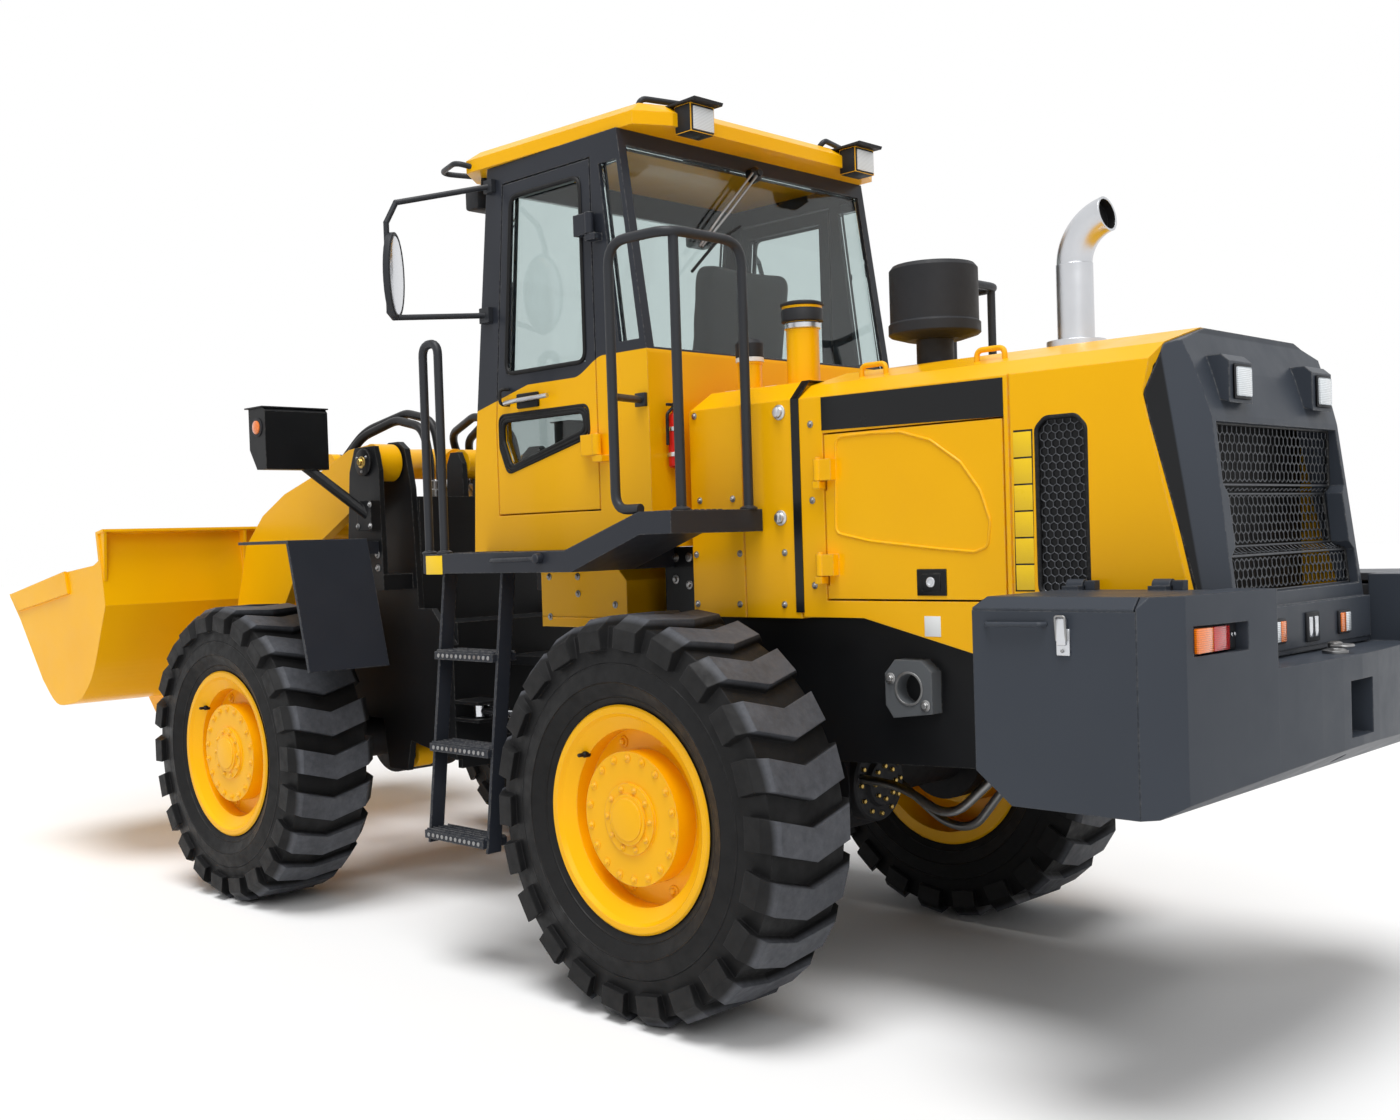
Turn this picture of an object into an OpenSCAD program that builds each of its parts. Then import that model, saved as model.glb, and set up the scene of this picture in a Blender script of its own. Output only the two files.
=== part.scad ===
// Articulated wheel loader. X points forward, Y to the left, Z up, millimetres.
// Distances along X are counted from the rear axle and shifted once by put().

/* [Overall] */
// Distance between the two axles
wheelbase = 2714; // [2650:2:2800]
// Rear axle to the rearmost face of the counterweight
tail = 1960; // [1900:5:2050]
// Distance between the wheel centres across the machine
track = 1760; // [1740:2:1800]
// Half of the frame's outer width at the rear
frame_half = 500; // [490:1:520]

/* [Wheels] */
// Outer radius of a tyre, over its lugs
tyre_r = 674; // [660:1:690]
// Width of a tyre
tyre_w = 420; // [400:2:430]
// Radius of the tyre's seat on the rim
rim_r = 356; // [345:1:365]
// Radius of the wheel hub
hub_r = 222; // [210:1:230]
// Radius of the stub shaft that a wheel turns on
stub_r = 70; // [60:1:80]
// Depth of the tyre lugs
lug_h = 38; // [30:1:45]

/* [Hood and tank] */
// Half width of hood and tank
hood_half = 560; // [545:1:570]
// Wall of the hood
hood_wall = 30; // [22:1:36]
// Height of the hood's side edge
hood_top = 2057; // [2020:1:2080]
// Height of the hood's crown above its side edge
hood_crown = 80; // [50:1:95]
// Height of the tank's top
tank_top = 2100; // [2050:1:2120]

/* [Cab] */
// Half width of the cab
cab_half = 700; // [690:1:715]
// Wall of the cab
cab_wall = 45; // [40:1:50]
// Height of the cab floor's underside
deck_z = 1560; // [1550:1:1575]
// Height of the top of the cab walls
cab_top = 3060; // [3040:1:3080]
// Height of the roof above the cab walls
roof_h = 88; // [70:1:100]
// Thickness of the window panes
pane = 8; // [6:1:10]

/* [Counterweight] */
// Half of the outer width at the rear
weight_half = 1000; // [980:1:1010]
// Height of the side boxes' top
box_top = 1409; // [1395:1:1415]
// Height of the side boxes' underside
box_low = 864; // [850:1:890]
// Radius of the tow pin's hole
tow_r = 22; // [18:1:26]

/* [Boom] */
// Boom pivot behind the front axle
boom_back = 514; // [500:1:530]
// Height of the boom pivot
boom_z = 1980; // [1970:1:1990]
// Boom length from pivot to bucket pin
boom_len = 2346; // [2320:1:2370]
// Slope of the boom below the horizon at rest
boom_drop = 32; // [31:0.5:33]
// Inner face of a boom arm
arm_in = 490; // [484:1:496]
// Thickness of a boom arm
arm_w = 50; // [44:1:54]
// Radius of the boom pivot pins
boom_pin = 50; // [44:1:54]

/* [Bucket] */
// Half of the bucket's width
bucket_half = 1160; // [1130:1:1200]
// How far the bucket is rolled back at rest
rollback = 49; // [47:0.5:50]
// Plate thickness of the bucket
bucket_t = 24; // [18:1:28]
// Bucket pin to the cutting edge
bucket_reach = 990; // [970:1:1010]
// Radius of the bucket pins
bucket_pin_r = 40; // [34:1:44]

/* [Cylinders] */
// Outer radius of a lift cylinder
lift_r = 62; // [56:1:66]
// Radius of a lift cylinder's rod
lift_rod_r = 35; // [30:1:40]
// Outer radius of the tilt cylinder
tilt_r = 75; // [66:1:78]
// Radius of the tilt cylinder's rod
tilt_rod_r = 38; // [32:1:42]
// Outer radius of a steering cylinder
steer_r = 42; // [38:1:46]
// Radius of a steering cylinder's rod
steer_rod_r = 24; // [20:1:28]

/* [Fits] */
// Radial play of a pin that turns in its bore
play = 0.05; // [0.02:0.01:0.09]
// Play between pieces that are fixed together
seat = 0.3; // [0.2:0.05:0.5]
// Gap beside a moving piece
gap = 6; // [5:0.5:8]

/* [Hidden] */
$fn = 48;
yellow = "#f6b410";
slate = "#454c55";
black = "#202225";
steel = "#9a9c9e";
fx = wheelbase;
ax = wheelbase / 2;
px = fx - boom_back;
bx = px + boom_len * cos(boom_drop);
bz = boom_z - boom_len * sin(boom_drop);
edge_drop = 125;
reach = bx + bucket_reach * cos(rollback) + edge_drop * sin(rollback);
ox = (reach - tail) / 2;
axle_z = tyre_r;
wheel_y = track / 2;
plate = 30;
frame_low = 886;
frame_top = 1310;

module put() { translate([-ox, 0, 0]) children(); }
module both() { children(); mirror([0, 1, 0]) children(); }
module box(a, b) { translate(a) cube(b - a); }
module slab(pts, y0, y1) { translate([0, y1, 0]) rotate([90, 0, 0]) linear_extrude(y1 - y0) polygon(pts); }
module rod_y(x, z, r, y0, y1) { translate([x, y0, z]) rotate([-90, 0, 0]) cylinder(r = r, h = y1 - y0); }
module rod_x(x0, x1, y, z, r) { translate([x0, y, z]) rotate([0, 90, 0]) cylinder(r = r, h = x1 - x0); }
module rod(p, q, r) {
  v = q - p;
  translate(p) rotate([0, acos(v.z / norm(v)), atan2(v.y, v.x)]) cylinder(r = r, h = norm(v));
}
module bar(p, q, r) {
  v = q - p;
  translate(p) rotate([0, acos(v.z / norm(v)), atan2(v.y, v.x)]) linear_extrude(norm(v))
    polygon([for (a = [15 : 30 : 345]) r * [cos(a), sin(a)]]);
}
module tube_path(pts, r) {
  for (i = [0 : len(pts) - 2]) rod(pts[i], pts[i + 1], r);
  for (i = [1 : len(pts) - 2]) translate(pts[i]) sphere(r = 1.04 * r);
}
// Draws along +X from a point of the XZ plane, tipped up by an angle
module along(x, z, tip) { translate([x, 0, z]) rotate([0, -tip, 0]) children(); }

// Rear frame: side plates, bulkhead, narrow neck and the two ears of the middle joint
neck_half = 205;
bulk_x = 350;
neck_x = 960;
ear_z = [640, 1090];
ear_t = 40;
ear_r = 110;
ear_pin = 45;
steer_m = [420, 380];
steer_n = [ax + 333, 360];
steer_z = 860;
steer_eye = 45;
steer_eye_t = 50;
module ear(x0, z0) {
  translate([0, 0, z0]) linear_extrude(ear_t) union() {
    translate([ax, 0]) circle(r = ear_r);
    polygon([[ax, -ear_r], [ax, ear_r], [x0, ear_r + 40], [x0, -ear_r - 40]]);
  }
}
module eye_fork(x0, x1, y0, y1) {
  for (s = [-1, 1]) box([x0, y0, steer_z + s * (steer_eye_t / 2 + gap + 7.5) - 7.5],
    [x1, y1, steer_z + s * (steer_eye_t / 2 + gap + 7.5) + 7.5]);
}
module rear_frame() {
  color(black) put() {
    both() slab([[-1740, frame_low], [bulk_x, frame_low - 86], [bulk_x, deck_z - 75], [200, deck_z - 75],
      [150, frame_top], [-1595, frame_top], [-1595, mid_top - 5], [-1740, mid_top - 5]], frame_half - plate,
      frame_half);
    box([bulk_x - 50, -frame_half, frame_low - 86], [bulk_x, frame_half, deck_z - 75]);
    both() slab([[bulk_x, ear_z[0]], [neck_x, ear_z[0]], [neck_x, ear_z[1] + 160], [1100, deck_z - 160],
      [1100, deck_z - 75], [bulk_x, deck_z - 75]], neck_half - 25, neck_half);
    box([neck_x - 30, -neck_half, ear_z[0]], [neck_x, neck_half, ear_z[1] + 160]);
    box([1000, -frame_half, deck_z - 160], [1100, frame_half, deck_z - 75]);
    box([155, -frame_half, frame_top + 60], [190, frame_half, deck_z + 40]);
    for (x = [-1700, -1100]) box([x, -frame_half, frame_low + 40], [x + 40, frame_half, frame_low + 220]);
    ear(neck_x - 1, ear_z[0]);
    ear(neck_x - 1, ear_z[1]);
    translate([ax, 0, ear_z[0]]) cylinder(r = ear_pin, h = 2 * ear_t + gap + 4);
    translate([ax, 0, ear_z[1] - ear_t - gap - 4]) cylinder(r = ear_pin, h = 2 * ear_t + gap + 4);
    both() {
      eye_fork(bulk_x - 1, steer_m.x + 50, steer_m.y - 50, steer_m.y + 50);
      translate([steer_m.x, steer_m.y, steer_z - 48]) cylinder(r = 25, h = 96);
      difference() {
        slab([[-870, 1020], [-720, 1000], [-690, 1040], [-690, 1140], [-730, 1185], [-830, 1185],
          [-870, 1150]], frame_half - 1, frame_half + 50);
        rod_y(-782, 1095, 46, frame_half + 1, frame_half + 60);
      }
    }
  }
}

// Axles: beam, final drive housings, brake drums and stub shafts
drum_y = wheel_y - 65;
module axle(x, seat_z, seat_y, nose) {
  rod_y(x, axle_z, 110, -drum_y, drum_y);
  rod_y(x, axle_z, 205, -150, 150);
  rod_x(min(x, x + nose), max(x, x + nose), 0, axle_z, 95);
  both() {
    rod_y(x, axle_z, 190, drum_y - 110, drum_y);
    rod_y(x, axle_z, stub_r, drum_y - 1, drum_y + 90);
    box([x - 110, seat_y - 45, axle_z], [x + 110, seat_y + 45, seat_z]);
  }
}
module rear_axle() {
  color(black) put() difference() {
    axle(0, frame_low, frame_half - plate / 2, 260);
    both() slab([[-1740, frame_low], [bulk_x, frame_low - 86], [bulk_x, 1500], [-1740, 1500]],
      frame_half - plate - seat, frame_half + seat);
  }
}
front_low = 790;
module front_axle() {
  color(black) put() {
    axle(fx, front_low, tower_in + 15, -240);
    rod_x(bulk_f + 30, fx - 239, 0, axle_z, 40);
  }
}

// Engine and gearbox, as plain blocks on their mounts
module engine() {
  color("#3a3d40") put() {
    difference() {
      box([-1380, -330, 1010], [-420, 330, 1830]);
      box([-1390, -340, 1000], [-1060, 340, 1120]);
    }
    both() for (x = [-1000, -560]) box([x, 329, 1060], [x + 90, frame_half - plate, 1150]);
    box([bulk_x + 30, -neck_half + 25, 620], [neck_x - 60, neck_half - 25, 1300]);
  }
}
module drive_shafts() {
  color(steel) put() {
    rod_x(260, bulk_x + 30, 0, axle_z, 40);
    rod_x(bulk_x - 30, bulk_x + 30, 0, axle_z, 68);
  }
}
module radiator() {
  color("#4a4d50") put() box([-1590, -frame_half, frame_top], [-1450, frame_half, 1960]);
}

// Counterweight: two side blocks, a low middle with the tow jaw, bowed in plan
mid_top = 1200;
mid_low = box_low;
weight_front = 1740;
block_front = 1800;
jaw_half = 80;
jaw_z = [970, 1130];
lamp_y = [630, 870];
lamp_z = [1258, 1332];
lamp_back = tail - 90;
function bow(y) = tail - 80 * pow(abs(y) / 900, 1.6);
module bowed(y0, y1, front, z0, z1) {
  translate([0, 0, z0]) linear_extrude(z1 - z0) polygon(concat(
    [[-front, y0]], [for (i = [0 : 8]) let (y = y0 + (y1 - y0) * i / 8) [-bow(y), y]], [[-front, y1]]));
}
module counterweight() {
  color(slate) put() difference() {
    union() {
      bowed(-520, 520, weight_front, mid_low, mid_top);
      both() {
        bowed(490, weight_half - 100, block_front, box_low, box_top);
        translate([0, 0, box_low]) linear_extrude(box_top - box_low)
          polygon([[-block_front, weight_half - 101], [-block_front, weight_half],
            [-bow(900), weight_half - 100], [-bow(900), weight_half - 101]]);
      }
    }
    box([-tail - 10, -jaw_half, jaw_z[0]], [-tail + 180, jaw_half, jaw_z[1]]);
    translate([-tail + 75, 0, mid_low - 10]) cylinder(r = tow_r, h = mid_top - mid_low + 20);
    both() box([-tail - 10, lamp_y[0], lamp_z[0]], [-lamp_back, lamp_y[1], lamp_z[1]]);
    slab([[-tail - 10, box_low - 1], [-tail + 130, box_low - 1], [-tail - 10, box_low + 85]], -weight_half,
      weight_half);
    both() translate([-block_front - 300, 0, 0]) rotate([90, 0, 90]) linear_extrude(400)
      polygon([[weight_half - 30, box_top + 1], [weight_half + 1, box_top + 1],
        [weight_half + 1, box_top - 30]]);
  }
}

// Battery boxes beside the hood, open at the top, with hinged lids
bat_in = hood_half + 20;
bat_front = 1330;
bat_wall = 20;
lid_t = 35;
lid_pin = 9;
lid_x = [-1700, -1440];
lid_hz = box_top + 12;
lid_hy = bat_in + 14;
bat_pts = [[-block_front, box_low], [-bat_front - 108, box_low], [-bat_front, box_low + 85],
  [-bat_front, box_top - lid_t - seat], [-block_front, box_top - lid_t - seat]];
module battery_box() {
  difference() {
    slab(bat_pts, bat_in, weight_half);
    box([-block_front + bat_wall, bat_in + bat_wall, box_low + 120],
      [-bat_front - bat_wall, weight_half - bat_wall, box_top + 50]);
  }
  for (x = lid_x) {
    box([x - 30, bat_in, box_top - lid_t - seat - 10], [x, lid_hy, lid_hz + 14]);
    box([x - 30, bat_in, lid_hz - 14], [x, lid_hy + 14, lid_hz + 14]);
    rod_x(x - 1, x + 60, lid_hy, lid_hz, lid_pin);
  }
}
module battery_lid() {
  difference() {
    union() {
      box([-block_front + 5, bat_in + 2, box_top - lid_t], [-bat_front - 2, weight_half, box_top]);
      for (x = lid_x) {
        rod_x(x + gap, x + 58, lid_hy, lid_hz, 18);
        box([x + gap, lid_hy, box_top - 5], [x + 58, lid_hy + 40, lid_hz]);
      }
    }
    translate([-block_front, 0, 0]) rotate([90, 0, 90]) linear_extrude(600)
      polygon([[weight_half - 30, box_top + 1], [weight_half + 1, box_top + 1],
        [weight_half + 1, box_top - 30]]);
    translate([-block_front, 0, 0]) rotate([90, 0, 90]) linear_extrude(600)
      polygon([[bat_in, box_top - lid_t - 1], [lid_hy + 20, box_top - lid_t - 1],
        [bat_in, box_top - lid_t + 12]]);
    slab([[-bat_front + 1, box_top - 30], [-bat_front + 1, box_top + 1], [-bat_front - 32, box_top + 1]], 0,
      weight_half + 1);
    for (x = lid_x) {
      box([x - 30 - gap, bat_in - 1, box_top - lid_t - 1], [x + gap, lid_hy + 14 + gap, box_top + 1]);
      rod_x(x, x + 80, lid_hy, lid_hz, lid_pin + play);
    }
  }
}
module battery_box_left() { color(slate) put() battery_box(); }
module battery_box_right() { color(slate) put() mirror([0, 1, 0]) battery_box(); }
module battery_lid_left() { color(slate) put() battery_lid(); }
module battery_lid_right() { color(slate) put() mirror([0, 1, 0]) battery_lid(); }

// Hood: a shell open below and at the rear, with a door in each side
hood_x = [-1790, -368];
back_line = [[-1660, 2200], [-1602, 1940], [-1725, 1388], [-1762, 1215]];
door_x = [-1160, -470];
door_z = [1370, 1917];
door_t = 25;
hinge_pin = 8;
hinge_y = hood_half + 22;
hinge_x = door_x[1] + 6;
hinge_zs = [1450, 1760];
hood_low = [[-1790, 1215], [-1030, 1215], [-620, frame_top + 5], [-368, frame_top + 5]];
module hood_outline(d) {
  half = [[300, hood_top + hood_crown - d],
    [hood_half - 70 - d * 0.4, hood_top + 0.35 * hood_crown - d * 0.8],
    [hood_half - d, hood_top - 20 - d * 0.6], [hood_half - d, 1100]];
  polygon(concat(half, rev([for (p = half) [-p.x, p.y]])));
}
module hood_body(d, x0, x1) {
  translate([x0, 0, 0]) rotate([90, 0, 90]) linear_extrude(x1 - x0) hood_outline(d);
}
module hood() {
  color(yellow) put() {
    difference() {
      hood_body(0, hood_x[0], hood_x[1]);
      hood_body(hood_wall, hood_x[0] - 1, hood_x[1] - 20);
      slab(concat([[hood_x[0] - 10, 1000]],
        [for (p = hood_low) p + [p.x == hood_x[0] ? -10 : p.x == hood_x[1] ? 10 : 0, 0]],
        [[hood_x[1] + 10, 1000]]), -hood_half - 10, hood_half + 10);
      both() box([door_x[0], hood_half - hood_wall - 10, door_z[0]], [door_x[1], hood_half + 10, door_z[1]]);
      both() slab([[-1428, 1392], [-1266, 1392], [-1266, 1875], [-1296, 1903], [-1398, 1903], [-1428, 1870]],
        hood_half - 12, hood_half + 10);
      both() box([-1181, hood_half - 5, 1380], [-1175, hood_half + 10, hood_top]);
      slab(concat(back_line, [[-1900, 1215], [-1900, 2200]]), -hood_half - 10, hood_half + 10);
    }
    both() for (z = hinge_zs) {
      box([hinge_x - 14, hood_half - 1, z - 24], [hinge_x + 14, hinge_y + 14, z]);
      translate([hinge_x, hinge_y, z - 1]) cylinder(r = hinge_pin, h = 80);
      box([door_x[1] + 3, hood_half - 5, z - 24], [hinge_x + 14, hood_half + 1, z]);
    }
  }
}
module hood_door() {
  difference() {
    union() {
      box([door_x[0] + gap, hood_half - door_t, door_z[0] + gap],
        [door_x[1] - gap, hood_half, door_z[1] - gap]);
      for (z = hinge_zs) {
        translate([hinge_x, hinge_y, z + 2]) cylinder(r = 15, h = 70);
        box([hinge_x - 60, hood_half + gap, z + 2], [hinge_x, hinge_y + 8, z + 72]);
        box([hinge_x - 60, hood_half - 1, z + 2], [door_x[1] - gap, hinge_y, z + 72]);
      }
    }
    for (z = hinge_zs) {
      translate([hinge_x, hinge_y, z - 5]) cylinder(r = hinge_pin + play, h = 100);
      box([hinge_x - 20, hood_half - 1 - gap, z - 24 - gap], [hinge_x + 40, hinge_y + 40, z + 2]);
    }
  }
}
module hood_door_left() { color(yellow) put() hood_door(); }
module hood_door_right() { color(yellow) put() mirror([0, 1, 0]) hood_door(); }

// Tail: dark surround of the grille behind the hood's slanted end, tapered in plan
tail_rear = [[-1812, 1205], [-1795, 1385], [-1737, 1880], [-1700, 2010], [-1660, hood_top + hood_crown - 20]];
tail_pts = concat([for (p = rev(back_line)) p - [seat, 0]], rev(tail_rear));
grille_z = [1385, 1862];
open_half = [[430, grille_z[0]], [430, 1490], [398, 1515], [398, 1665], [422, 1690], [412, grille_z[1]]];
module opening(d) {
  half = [for (p = open_half) p + [-d, p.y == grille_z[0] ? d : p.y == grille_z[1] ? -d : 0]];
  translate([-1900, 0, 0]) rotate([90, 0, 90]) linear_extrude(400)
    polygon(concat(half, rev([for (p = half) [-p.x, p.y]])));
}
module tail_surround() {
  color(slate) put() {
    difference() {
      intersection() {
        slab(tail_pts, -hood_half, hood_half);
        hood_body(4, -1900, -1500);
        translate([-1670, 0, 1600]) rotate([0, 9, 0]) translate([0, 0, -500]) linear_extrude(1100)
          polygon([[300, 600], [12, hood_half], [-30, 505], [-118, 425], [-300, 400], [-300, -400],
            [-118, -425], [-30, -505], [12, -hood_half], [300, -600]]);
      }
      opening(0);
      slab([[-1500, 1250], [-1745, 1250], [-1690, 1920], [-1500, 1920]], -405, 405);
    }
    difference() {
      slab([[-1700, mid_top + 20], [-1818 + seat, mid_top + 20], [-1818 + seat, 1345], [-1700, 1345]], -455,
        455);
      slab([[-1500, 1000], [-1790, 1000], [-1780, 1400], [-1500, 1400]], -300, 300);
    }
    box([-1800, -455, mid_top + seat], [-1760, 455, mid_top + 21]);
    both() slab([[-1640, 2040], [-1700, 1935], [-1752, 1915], [-1752, 2030], [-1730, 2050], [-1650, 2050]],
      lamp_c - 72, lamp_c + 72);
  }
}
lamp_c = 281;
// Grille of three facets with slots
module rear_grille() {
  color(black) put() difference() {
    intersection() {
      slab([[-1768, grille_z[0]], [-1756, 1490], [-1722, 1515], [-1704, 1665], [-1716, 1690],
        [-1716, grille_z[1]], [-1702, grille_z[1]], [-1702, 1690], [-1690, 1665], [-1708, 1515],
        [-1742, 1490], [-1754, grille_z[0]]], -450, 450);
      opening(seat);
    }
    for (i = [-6 : 6], j = [0 : 5]) let (z = grille_z[0] + 24 + 74 * j)
      box([-1800, i * 59 - 22, z], [-1650, i * 59 + 22, z + 50]);
  }
}
module rear_lamps() {
  color("#b3261e") put() both() {
    box([-lamp_back - 24, lamp_y[0] + 2, lamp_z[0] + 2], [-lamp_back, lamp_y[1] - 2, lamp_z[1] - 2]);
    box([-1830, 190, 1240], [-1818, 275, 1310]);
    box([-1764, lamp_c - 52, 1925], [-1752 - seat, lamp_c + 52, 2022]);
  }
}

// Tank between cab and hood, with filler neck
tank_x = [-360, 143];
module tank() {
  color(yellow) put() {
    difference() {
      slab([[tank_x[0], frame_top], [tank_x[1], frame_top], [tank_x[1], tank_top - 70],
        [tank_x[1] - 60, tank_top], [tank_x[0] + 15, tank_top], [tank_x[0], tank_top - 15]], -hood_half,
        hood_half);
      both() {
        box([-112, hood_half - 5, frame_top - 1], [-106, hood_half + 1, tank_top + 1]);
        translate([tank_x[0] - 1, 0, 0]) rotate([90, 0, 90]) linear_extrude(600)
          polygon([[hood_half - 60, tank_top + 1], [hood_half + 1, tank_top + 1],
            [hood_half + 1, tank_top - 62]]);
      }
    }
    translate([-220, 350, tank_top - 1]) cylinder(r = 57, h = 230);
    translate([-220, 350, tank_top + 228]) cylinder(r = 70, h = 62);
  }
}
pipe_r = 56;
module side_boxes() {
  color(yellow) put() both() slab([[455, 1300], [520, 1262], [950, 1262], [950, plat_low - seat],
    [500, plat_low - seat], [455, 1440]], 330, 600);
}
module exhaust() {
  color(steel) put() translate([-1200, 205, hood_top + hood_crown]) {
    cylinder(r = pipe_r, h = 255);
    cylinder(r = 90, h = 20);
    difference() {
      translate([-140, 0, 253]) rotate([90, 0, 0]) rotate_extrude(angle = 80) translate([140, 0])
        circle(r = pipe_r - 2);
      translate([-140, 0, 253]) rotate([0, -80, 0]) translate([140, 0, -30]) cylinder(r = pipe_r - 9, h = 60);
    }
  }
}
module precleaner() {
  color(black) put() translate([-670, 200, hood_top + hood_crown]) {
    cylinder(r = 62, h = 90);
    rotate_extrude() polygon([[0, 85], [95, 85], [146, 100], [153, 106], [153, 138], [147, 144], [147, 318],
      [136, 332], [0, 334]]);
  }
}

// Cab: hollow shell with cut windows and door openings
cab_x = [200, 1240];
sill_z = 2250;
cab_pts = [[cab_x[0], deck_z], [cab_x[1], deck_z], [cab_x[1] - 20, 1900], [1075, cab_top], [325, cab_top],
  [cab_x[0], sill_z]];
cab_in = [[cab_x[0] + cab_wall, deck_z + cab_wall], [cab_x[1] - cab_wall, deck_z + cab_wall],
  [cab_x[1] - 20 - cab_wall, 1895], [1030, cab_top + 1], [370, cab_top + 1],
  [cab_x[0] + cab_wall, sill_z - 5]];
head_line = cab_top - 75;
cdoor = [[470, 1700], [1075, 1700], [1075, 2050], [985, head_line], [470, head_line]];
function cab_z(f) = deck_z + f * (cab_top - deck_z);
cdoor_win = [[530, cab_z(0.46)], [1000, cab_z(0.46)], [935, head_line - 60], [530, head_line - 60]];
quarter = [[238, 2300], [345, 2300], [425, head_line - 35], [328, head_line - 35]];
tri_win = [[540, cab_z(0.292)], [545, cab_z(0.34)], [1030, cab_z(0.34)], [1030, cab_z(0.287)],
  [985, cab_z(0.217)]];
screen_h = norm([1075 - cab_x[1] + 20, cab_top - 1900]) - 90;
rear_h = norm([325 - cab_x[0], cab_top - sill_z]) - 60;
post = 38;
cab_hx = cdoor[0].x - 14;
cab_hy = cab_half + 24;
cab_hzs = [1900, head_line - 285];
function shrink(pts, d) = let (c = [for (k = [0, 1]) let (v = [for (p = pts) p[k]])
  v * [for (q = v) 1] / len(v)])
  [for (p = pts) [p.x + (p.x < c.x ? d : -d), p.y + (p.y < c.y ? d : -d)]];
module screen_cut(d, depth0, depth1) {
  // Windscreen, leaning back
  tip = atan2(1075 - cab_x[1] + 20, cab_top - 1900);
  translate([cab_x[1] - 20, 0, 1900]) rotate([0, tip, 0])
    box([-depth1, -cab_half + 75 + d, -40 + d], [-depth0, cab_half - 75 - d, screen_h - d]);
}
module rear_cut(d, depth0, depth1) {
  tip = atan2(325 - cab_x[0], cab_top - sill_z);
  translate([cab_x[0], 0, sill_z]) rotate([0, tip, 0])
    box([depth0, -cab_half + post + d, 20 + d], [depth1, cab_half - post - d, rear_h - d]);
}
module cab_shell() {
  color(black) put() {
    difference() {
      slab(cab_pts, -cab_half, cab_half);
      slab(cab_in, -cab_half + cab_wall, cab_half - cab_wall);
      both() {
        slab(cdoor, cab_half - cab_wall - 10, cab_half + 10);
        slab(quarter, cab_half - cab_wall - 10, cab_half + 10);
      }
      screen_cut(0, -60, 90);
      rear_cut(0, -60, 90);
    }
    both() for (z = cab_hzs) {
      box([cab_hx - 40, cab_half - 1, z - 24], [cab_hx + 13, cab_hy + 13, z]);
      translate([cab_hx, cab_hy, z - 1]) cylinder(r = 9, h = 82);
    }
  }
}
function roof_line(d) = let (h = [[185 + d, cab_half - 150 - d * 0.4], [255 + d * 0.4, cab_half - 15 - d],
  [1180 - d * 0.4, cab_half + 22 - d], [1290 - d, cab_half - 110 - d * 0.4]])
  concat(h, rev([for (p = h) [p.x, -p.y]]));
module cab_roof() {
  color(yellow) put() {
    translate([0, 0, cab_top]) hull() {
      linear_extrude(roof_h * 0.55) polygon(roof_line(0));
      linear_extrude(roof_h) polygon(roof_line(55));
    }
    both() box([120, 405, cab_top - 25], [200, 525, cab_top + 75]);
  }
}
module cab_glass() {
  color("#5f6b66") put() {
    screen_cut(seat, 15, 15 + pane);
    rear_cut(seat, 15, 15 + pane);
    both() slab(shrink(quarter, seat), cab_half - 25, cab_half - 25 + pane);
  }
}
module cab_door() {
  difference() {
    union() {
      slab(shrink(cdoor, gap), cab_half - cab_wall, cab_half);
      for (z = cab_hzs) {
        translate([cab_hx, cab_hy, z + 2]) cylinder(r = 17, h = 76);
        box([cab_hx, cab_half + gap, z + 2], [cab_hx + 80, cab_hy + 8, z + 78]);
        box([cdoor[0].x + gap, cab_half - 1, z + 2], [cab_hx + 80, cab_hy, z + 78]);
      }
    }
    for (w = [cdoor_win, tri_win]) slab(w, cab_half - cab_wall - 10, cab_half + 10);
    for (z = cab_hzs) translate([cab_hx, cab_hy, z - 5]) cylinder(r = 9 + play, h = 100);
  }
}
module cab_door_left() { color(black) put() cab_door(); }
module cab_door_right() { color(black) put() mirror([0, 1, 0]) cab_door(); }
module door_glass_left() {
  color("#5f6b66") put() for (w = [cdoor_win, tri_win])
    slab(shrink(w, seat), cab_half - 25, cab_half - 25 + pane);
}
module door_glass_right() { mirror([0, 1, 0]) door_glass_left(); }
module seat_body() {
  floor_z = deck_z + cab_wall;
  box([430, -170, floor_z], [800, 170, floor_z + 330]);
  box([390, -250, floor_z + 330], [890, 250, floor_z + 460]);
  back_z = floor_z + 0.72 * (cab_top - floor_z);
  slab([[390, floor_z + 460], [510, floor_z + 460], [420, back_z], [320, back_z]], -240, 240);
}
module seat() { color("#2b2d30") put() seat_body(); }
wheel_c = [900, 0, 2290];
module console() {
  floor_z = deck_z + cab_wall;
  color("#2b2d30") put() {
    slab([[980, floor_z], [1150, floor_z], [1120, 2080], [1000, 2080]], -180, 180);
    rod([1060, 0, 2050], wheel_c, 28);
    translate(wheel_c) rotate([0, -25, 0]) {
      rotate_extrude() translate([205, 0]) circle(r = 16);
      for (a = [0, 120, 240]) rotate([0, 0, a]) rotate([0, 90, 0]) cylinder(r = 10, h = 200);
      translate([0, 0, -20]) cylinder(r = 42, h = 36);
    }
  }
}

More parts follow.
